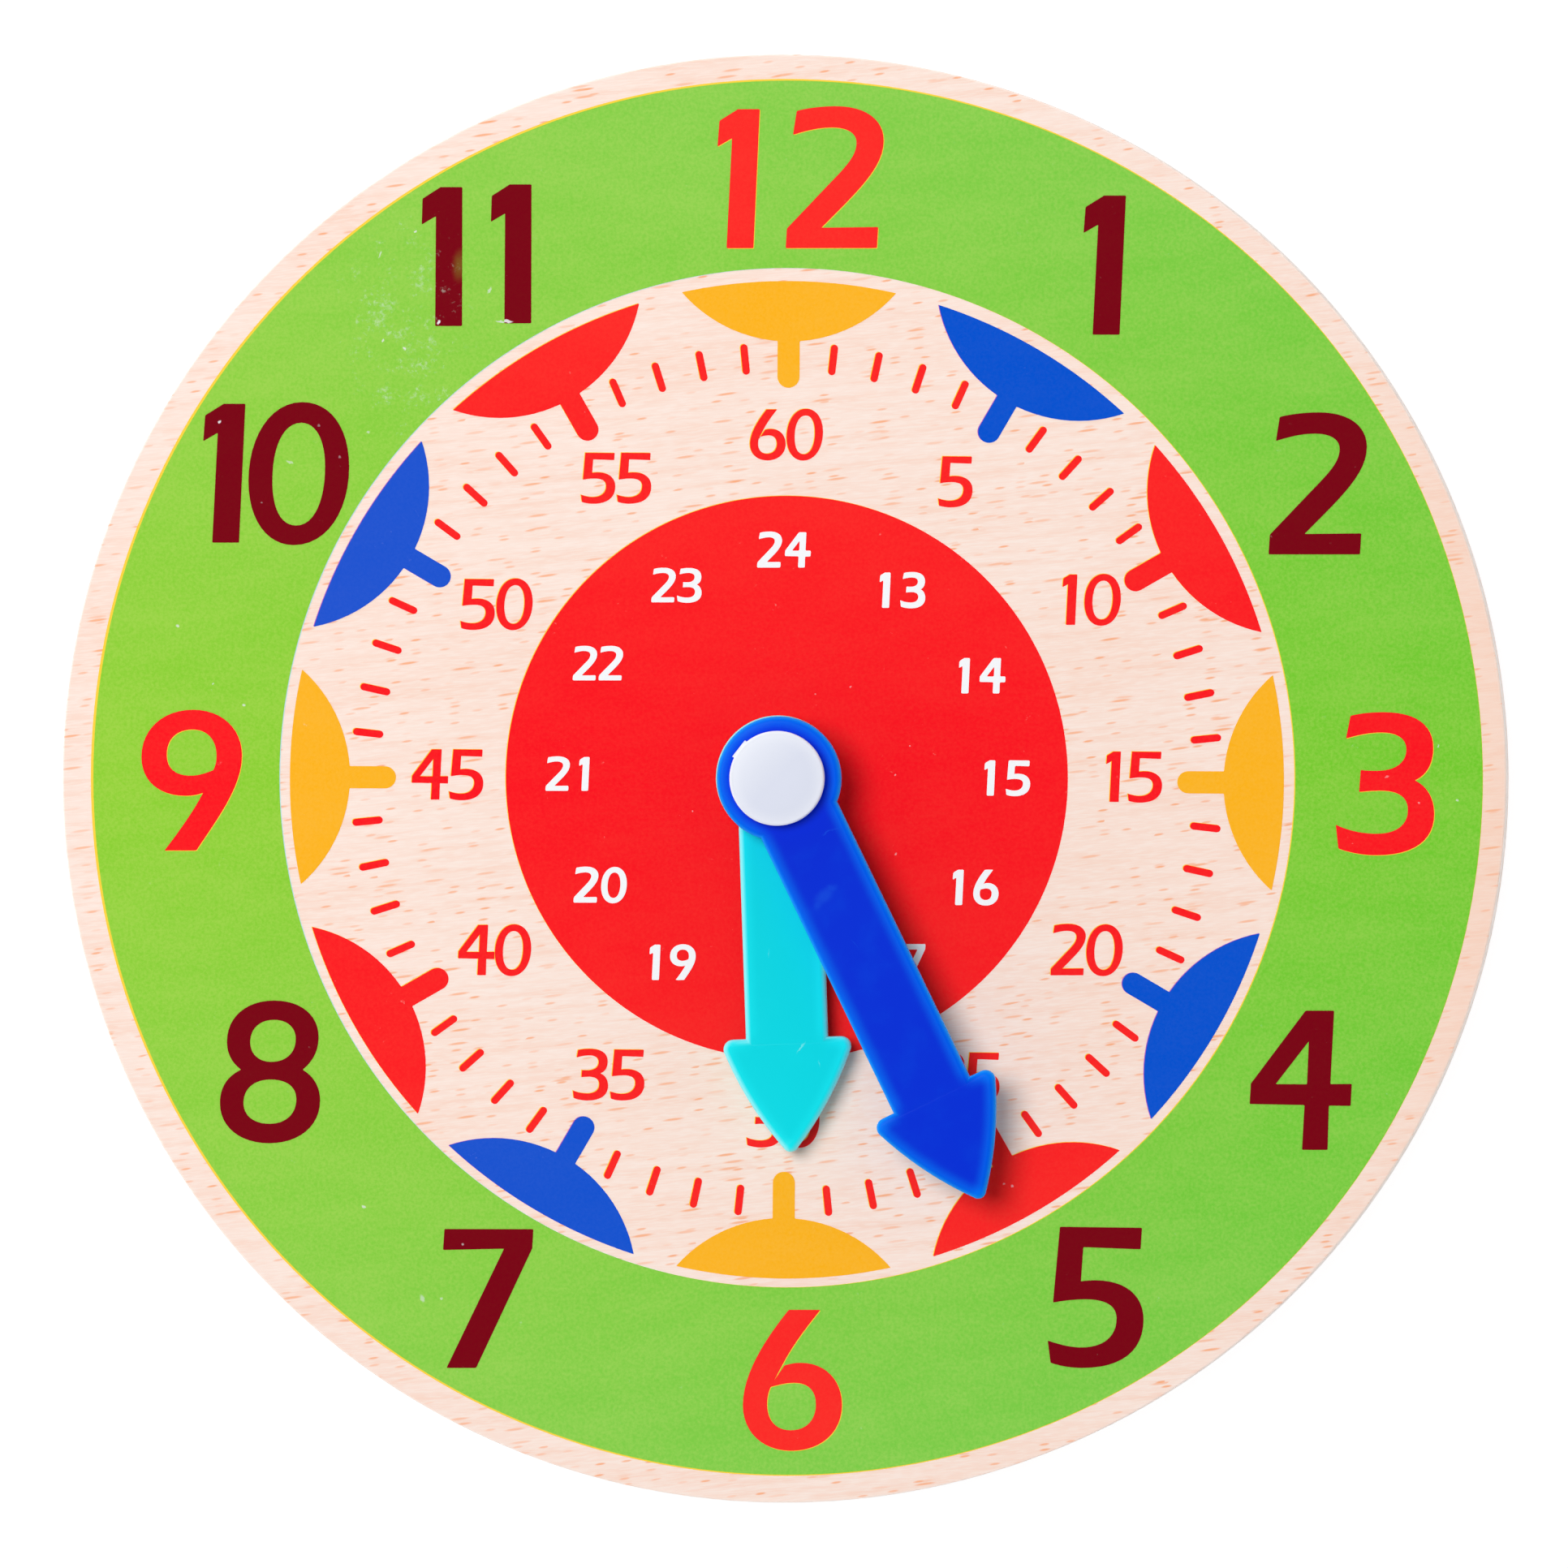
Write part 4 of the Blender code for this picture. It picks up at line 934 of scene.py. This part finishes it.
class CLOCK_OT_markers(bpy.types.Operator):
    """Print the twelve five minute markers and the forty-eight strokes between them"""

    bl_idname = "clock.markers"
    bl_label = "Markers and strokes"

    def execute(self, context):
        sizes, colours = choices(context)
        outline = softened(marker_outline(sizes), MARKER_SOFTENING)
        turns = {hour: math.tau * hour / 12 + MARKER_TURN for hour in range(1, 13)}
        tints = {hour: ["orange", "blue", "red"][hour % 3] for hour in turns}
        for hour, turn in turns.items():
            marker = flat("five_minute_marker_{:02d}".format(hour), [outline], FILM_FOOT, FILM_TOP)
            put_down(marker, ink(colours, tints[hour]), MARKER_SHIFT, turn,
                     ["marker_print_{:02d}".format(hour)])
        for which, fringe, shift in (("blue", "magenta", MAGENTA_SHIFT), ("red", "yellow", YELLOW_SHIFT)):
            outlines = [turned_outline(outline, turn) for hour, turn in turns.items()
                        if tints[hour] == which]
            under = flat(fringe + "_marker_underprint", outlines, FILM_FOOT, UNDERPRINT_TOP)
            put_down(under, ink(colours, fringe), MARKER_SHIFT + shift)
        turns = [math.tau * minute / 60 + STROKE_TURN for minute in range(60) if minute % 5]
        outlines = [turned_outline(stroke_outline(sizes), turn) for turn in turns]
        strokes = flat("minute_strokes", outlines, FILM_FOOT, FILM_TOP)
        put_down(strokes, ink(colours, "red"), STROKE_SHIFT)
        under = flat("yellow_stroke_underprint", outlines, FILM_FOOT, UNDERPRINT_TOP)
        put_down(under, ink(colours, "yellow"), STROKE_SHIFT + YELLOW_SHIFT)
        return {"FINISHED"}


class CLOCK_OT_hour_numerals(bpy.types.Operator):
    """Print the numerals 1 to 12, maroon and red, over the green band"""

    bl_idname = "clock.hour_numerals"
    bl_label = "Hour numerals"

    def execute(self, context):
        sizes, colours = choices(context)
        knocked_out = []
        for hour, place in HOUR_PLACES.items():
            text = str(hour)
            outlines = number_outlines(text, sizes.hour_height, HOUR_SPACING.get(text, 0),
                                       Vector(place) * MM, HOUR_SOFTENING)
            numeral = flat("hour_number_{:02d}".format(hour), outlines, OVERPRINT_FOOT, NUMERAL_TOP)
            which = "maroon" if hour % 3 else "red"
            endings = ["_tens", "_units"] if len(text) == 2 else [""]
            nodes = ["hour_numeral_" + text + ending for ending in endings]
            put_down(numeral, ink(colours, which), nodes=nodes)
            if which == "red":
                knocked_out += outlines
        under = flat("yellow_numeral_underprint", knocked_out, OVERPRINT_FOOT, KNOCKOUT_TOP)
        put_down(under, ink(colours, "yellow"), KNOCKOUT_SHIFT)
        return {"FINISHED"}


class CLOCK_OT_small_numerals(bpy.types.Operator):
    """Print the red minute numerals 5 to 60 and the white afternoon hours 13 to 24"""

    bl_idname = "clock.small_numerals"
    bl_label = "Minute and afternoon numerals"

    def execute(self, context):
        sizes, colours = choices(context)
        height, under = sizes.minute_height, []
        for minute, place in MINUTE_PLACES.items():
            text = str(minute)
            spacing = MINUTE_SPACING.get(text, USUAL_MINUTE_SPACING)
            outlines = number_outlines(text, height, spacing, Vector(place) * MM, MINUTE_SOFTENING,
                                       MINUTE_SWELL * height)
            numeral = flat("minute_number_{:02d}".format(minute), outlines, FILM_FOOT, FILM_TOP)
            put_down(numeral, ink(colours, "red"))
            under += outlines
        fringe = flat("yellow_minute_underprint", under, FILM_FOOT, UNDERPRINT_TOP)
        put_down(fringe, ink(colours, "yellow"), YELLOW_SHIFT)
        height = sizes.afternoon_height
        for hour, place in AFTERNOON_PLACES.items():
            text = str(hour)
            spacing = AFTERNOON_SPACING.get(text, TEENS_SPACING)
            swell = 0.0 if text in SQUASHED else AFTERNOON_SWELL * height
            outlines = number_outlines(text, height, spacing, Vector(place) * MM, AFTERNOON_SOFTENING, swell)
            numeral = flat("afternoon_number_{:02d}".format(hour), outlines, OVERPRINT_FOOT, NUMERAL_TOP)
            put_down(numeral, ink(colours, "white_ink"))
        return {"FINISHED"}


# Hands and rivet

class CLOCK_OT_hands(bpy.types.Operator):
    """Mould the turquoise hour hand and the blue minute hand"""

    bl_idname = "clock.hands"
    bl_label = "Hands"

    def execute(self, context):
        sizes, colours = choices(context)
        for name, body, slot, shaft, shoulder, bore, bottom, top, angle, play, plastic in (
                ("turquoise_hour_hand", "hour_hand", "turquoise_plastic",
                 sizes.hour_shaft, sizes.hour_shoulder, HOUR_HAND_BORE, HOUR_HAND_BOTTOM,
                 HOUR_HAND_TOP, HOUR_HAND_ANGLE, HOUR_HAND_PLAY,
                 # Painted light on the hour hand: its edge glow, and its rim light that widens on the west
                 # side; it grows paler towards its tip
                 ("moulded_turquoise_plastic", colours.turquoise, "#14ECF4", ("#A8F4FA", 0.62),
                  ((0.0, -1.0), 42 * MM, "#14ECF4", 0.34), "#7CF0F0", TURQUOISE_MARKS)),
                ("blue_minute_hand", "minute_hand", "blue_plastic",
                 sizes.minute_shaft, sizes.minute_shoulder, MINUTE_HAND_BORE, MINUTE_HAND_BOTTOM,
                 MINUTE_HAND_TOP, MINUTE_HAND_ANGLE, MINUTE_HAND_PLAY,
                 # Painted light and shade on the minute hand: its edge glow and rim light, and painted shade
                 # of the cap at its hub end
                 ("moulded_blue_plastic", colours.royal_blue, "#0074F8", ("#20A8FF", 0.2),
                  ((0.44, -0.9), 16 * MM, "#0074F8", 0.05), "#1E66E6", BLUE_MARKS))):
            outlines = [hand_outline(sizes, shaft, shoulder),
                        arc(NO_SHIFT, bore, 0, math.tau, RIVET_STEPS)[:-1]]
            hand = flat(name, outlines, bottom, top, edge_round=sizes.hand_edge)
            settle(hand, angle, play)

            # Weighting by the area of faces keeps the flat face flat beside the rounded edges
            apply_modifier(hand, "WEIGHTED_NORMAL", keep_sharp=True)
            fit(hand, moulded_plastic(*plastic), body, [body])
        return {"FINISHED"}


class CLOCK_OT_rivet(bpy.types.Operator):
    """Mould the snap rivet: the domed cap with its barrel, the lock with its split pin, and two washers"""

    bl_idname = "clock.rivet"
    bl_label = "Rivet and washers"

    def execute(self, context):
        colours = context.scene.clock_colours
        # Painted light on the white plastic: its edge glow, and its paler north-west side, towards the key
        # light
        white = moulded_plastic("moulded_white_plastic", colours.white, "#E6E9F5", ("#E6E9F5", 0.0),
                                ((-0.7, 0.7), 5 * MM, "#F2F5FC", 0.6), "#FFFFFF", [])
        rim = WASHER_RADIUS - WASHER_CHAMFER
        for name, node, bottom, top in (
                ("lower_washer", "base_washer", NUMERAL_TOP, HOUR_HAND_BOTTOM),
                ("upper_washer", "middle_washer", HOUR_HAND_TOP, MINUTE_HAND_BOTTOM)):
            low, high = bottom + STACK_GAP, top - STACK_GAP
            section = [(BORE_RADIUS, low), (BORE_RADIUS, high), (rim, high),
                       (WASHER_RADIUS, high - WASHER_CHAMFER), (WASHER_RADIUS, low + WASHER_CHAMFER),
                       (rim, low)]
            fit(turned(name, section, RIVET_STEPS), white, "rivet", [node])
        self.make_cap(white)
        self.make_lock(white)
        return {"FINISHED"}

    def make_cap(self, white):
        """The cap: an almost flat dome inside a thin lip, the stub of its gate, and the barrel below it."""
        seat = MINUTE_HAND_TOP + STACK_GAP
        chamfer, groove_half, groove_depth = 0.15 * MM, 0.6 * MM, 0.35 * MM
        barrel_roof = PIN_TOP + 0.9 * MM
        section = [(radius * MM, CAP_TOP - drop * MM) for radius, drop in CAP_DOME]
        section += [(CAP_RADIUS, seat + 0.2 * MM), (CAP_RADIUS - chamfer, seat), (BARREL_RADIUS, seat),
                    (BARREL_RADIUS, BARREL_END + chamfer), (BARREL_RADIUS - chamfer, BARREL_END),
                    (BARREL_BORE, BARREL_END), (BARREL_BORE, BARB_HEIGHT - groove_half),
                    (BARREL_BORE + groove_depth, BARB_HEIGHT - groove_half),
                    (BARREL_BORE + groove_depth, BARB_HEIGHT + groove_half),
                    (BARREL_BORE, BARB_HEIGHT + groove_half), (BARREL_BORE, barrel_roof), (0.0, barrel_roof)]
        cap = turned("snap_rivet_cap", section, RIVET_STEPS, closed=False)
        low, high = seat + 0.25 * MM, CAP_TOP - 0.3 * MM
        stub_middle = CAP_RADIUS - 0.25 * MM
        stub_depth, stub_width = 0.72 * MM, 2.1 * MM
        place = (stub_middle * math.cos(GATE_ANGLE), stub_middle * math.sin(GATE_ANGLE), (low + high) / 2)
        combine(cap, block(place, (stub_depth, stub_width, high - low), GATE_ANGLE), "UNION")
        settle(cap, shift=RIVET_CAP_PLAY)
        fit(cap, white, "rivet", ["rivet_cap"])

    def make_lock(self, white):
        """The lock: a flange in the counterbore, and a barbed pin that a slot splits in two."""
        section = [(0.0, PIN_TOP), (PIN_RADIUS - 0.3 * MM, PIN_TOP), (PIN_RADIUS + 0.25 * MM, BARB_HEIGHT),
                   (PIN_RADIUS, BARB_HEIGHT - 0.3 * MM), (PIN_RADIUS, FLANGE_TOP), (LOCK_RADIUS, FLANGE_TOP)]
        section += [(LOCK_RADIUS - FLANGE_ROUNDING + FLANGE_ROUNDING * out,
                     LOCK_BOTTOM + FLANGE_ROUNDING - FLANGE_ROUNDING * down) for down, out in EDGE_TURN]
        section += [(1.6 * MM, LOCK_BOTTOM), (1.2 * MM, LOCK_BOTTOM + 0.25 * MM),
                    (0.0, LOCK_BOTTOM + 0.3 * MM)]
        lock = turned("snap_rivet_lock", section, RIVET_STEPS, closed=False)
        slot_bottom, slot_top = FLANGE_TOP + 2.0 * MM, PIN_TOP + 1.0 * MM
        slot_width, slot_length = 0.6 * MM, 6 * MM
        slot_size = (slot_width, slot_length, slot_top - slot_bottom)
        combine(lock, block((0, 0, (slot_bottom + slot_top) / 2), slot_size), "DIFFERENCE")
        fit(lock, white, "rivet", ["rivet_lock"])


# Stage

def seen_directly(add):
    """Whether the camera sees a surface straight, or in a mirror, or through glass."""
    path = add("LightPath").outputs
    mirror = add("Math", {0: path["Is Glossy Ray"], 1: path["Is Transmission Ray"]}, operation="MAXIMUM")
    return add("Math", {0: path["Is Camera Ray"], 1: mirror}, operation="MAXIMUM")


class CLOCK_OT_stage(bpy.types.Operator):
    """Set up the pale floor, the soft key light from the left, the white surroundings and the camera"""

    bl_idname = "clock.stage"
    bl_label = "Stage"

    def execute(self, context):
        self.make_floor()
        self.make_light(context)
        self.make_camera(context)
        return {"FINISHED"}

    def make_floor(self):
        """A floor that keeps the clock's shadow, and is almost white where the camera sees it."""
        bpy.ops.object.select_all(action="DESELECT")
        bpy.ops.mesh.primitive_plane_add(size=FLOOR_SIZE, location=(0, 0, 0))
        floor = bpy.context.object
        floor.name = "pale_floor"
        material = bpy.data.materials.new("pale_floor")
        add = emptied(material)
        plain = add("BsdfDiffuse", {"Color": linear("#F2F2F2")})
        shaded = add("BsdfDiffuse", {"Color": linear("#707070")})
        glow = add("Emission", {"Color": linear("#FFFFFF"), "Strength": 0.92})
        seen = add("AddShader", {0: shaded, 1: glow})
        add("OutputMaterial", {"Surface": add("MixShader", {0: seen_directly(add), 1: plain, 2: seen})})
        floor.data.materials.append(material)

    def make_light(self, context):
        """A round softbox high on the left, and surroundings that are brightest near the horizon."""
        toward = Vector((math.cos(KEY_AZIMUTH) * math.cos(KEY_ELEVATION),
                         math.sin(KEY_AZIMUTH) * math.cos(KEY_ELEVATION), math.sin(KEY_ELEVATION)))
        bpy.ops.object.light_add(type="AREA", location=toward * KEY_DISTANCE)
        key = context.object
        key.name = "key_softbox"
        key.data.shape = "DISK"
        key.data.size = KEY_SIZE
        key.data.energy = KEY_POWER
        key.rotation_euler = toward.to_track_quat("Z", "Y").to_euler()
        world = bpy.data.worlds.new("white_surroundings")
        context.scene.world = world
        add = emptied(world)
        upwards = add("SeparateXYZ", {"Vector": add("TexCoord").outputs["Generated"]}).outputs["Z"]
        strength = add("MapRange", {
            "Value": upwards, "From Min": HORIZON_HEIGHT, "From Max": OVERHEAD_HEIGHT,
            "To Min": HORIZON_LIGHT, "To Max": OVERHEAD_LIGHT})
        fill = add("Background", {"Color": linear("#FFFFFF"), "Strength": strength})
        white = add("Background", {"Color": linear("#FFFFFF"), "Strength": 1.0})
        add("OutputWorld", {"Surface": add("MixShader", {0: seen_directly(add), 1: fill, 2: white})})
        context.scene.view_settings.view_transform = "Standard"

    def make_camera(self, context):
        """A camera far off with a long lens, leaning a little east of the axis, as for the photograph."""
        toward = Vector((math.sin(CAMERA_EAST), math.sin(CAMERA_NORTH), 0))
        toward.z = math.sqrt(1 - toward.length_squared)
        bpy.ops.object.camera_add(location=CAMERA_TARGET + toward * CAMERA_DISTANCE)
        camera = context.object
        camera.name = "photo_camera"
        east = Vector((0, 1, 0)).cross(toward).normalized()
        camera.rotation_euler = Matrix((east, toward.cross(east), toward)).transposed().to_euler()
        camera.data.sensor_width = CAMERA_SENSOR
        camera.data.lens = CAMERA_LENS
        camera.data.clip_start = CAMERA_NEAR
        camera.data.clip_end = CAMERA_FAR
        context.scene.camera = camera


OPERATORS = [CLOCK_OT_board, CLOCK_OT_grounds, CLOCK_OT_markers, CLOCK_OT_hour_numerals,
             CLOCK_OT_small_numerals, CLOCK_OT_hands, CLOCK_OT_rivet, CLOCK_OT_stage]


class CLOCK_PT_panel(bpy.types.Panel):
    """The clock's operators, sizes and colours in the sidebar"""

    bl_idname = "CLOCK_PT_panel"
    bl_label = "Teaching clock"
    bl_space_type = "VIEW_3D"
    bl_region_type = "UI"
    bl_category = "Clock"

    def draw(self, context):
        for operator in OPERATORS:
            self.layout.operator(operator.bl_idname)
        for group in (context.scene.clock_sizes, context.scene.clock_colours):
            column = self.layout.column()
            for name in group.bl_rna.properties.keys():
                if name not in ("rna_type", "name"):
                    column.prop(group, name)


CLASSES = [ClockSizes, ClockColours, *OPERATORS, CLOCK_PT_panel]


def register():
    for item in CLASSES:
        bpy.utils.register_class(item)
    bpy.types.Scene.clock_sizes = bpy.props.PointerProperty(type=ClockSizes)
    bpy.types.Scene.clock_colours = bpy.props.PointerProperty(type=ClockColours)


def unregister():
    del bpy.types.Scene.clock_colours
    del bpy.types.Scene.clock_sizes
    for item in reversed(CLASSES):
        bpy.utils.unregister_class(item)


def main():
    register()
    bpy.ops.clock.board()
    bpy.ops.clock.grounds()
    bpy.ops.clock.markers()
    bpy.ops.clock.hour_numerals()
    bpy.ops.clock.small_numerals()
    bpy.ops.clock.hands()
    bpy.ops.clock.rivet()
    bpy.ops.clock.stage()


if __name__ == "__main__":
    main()
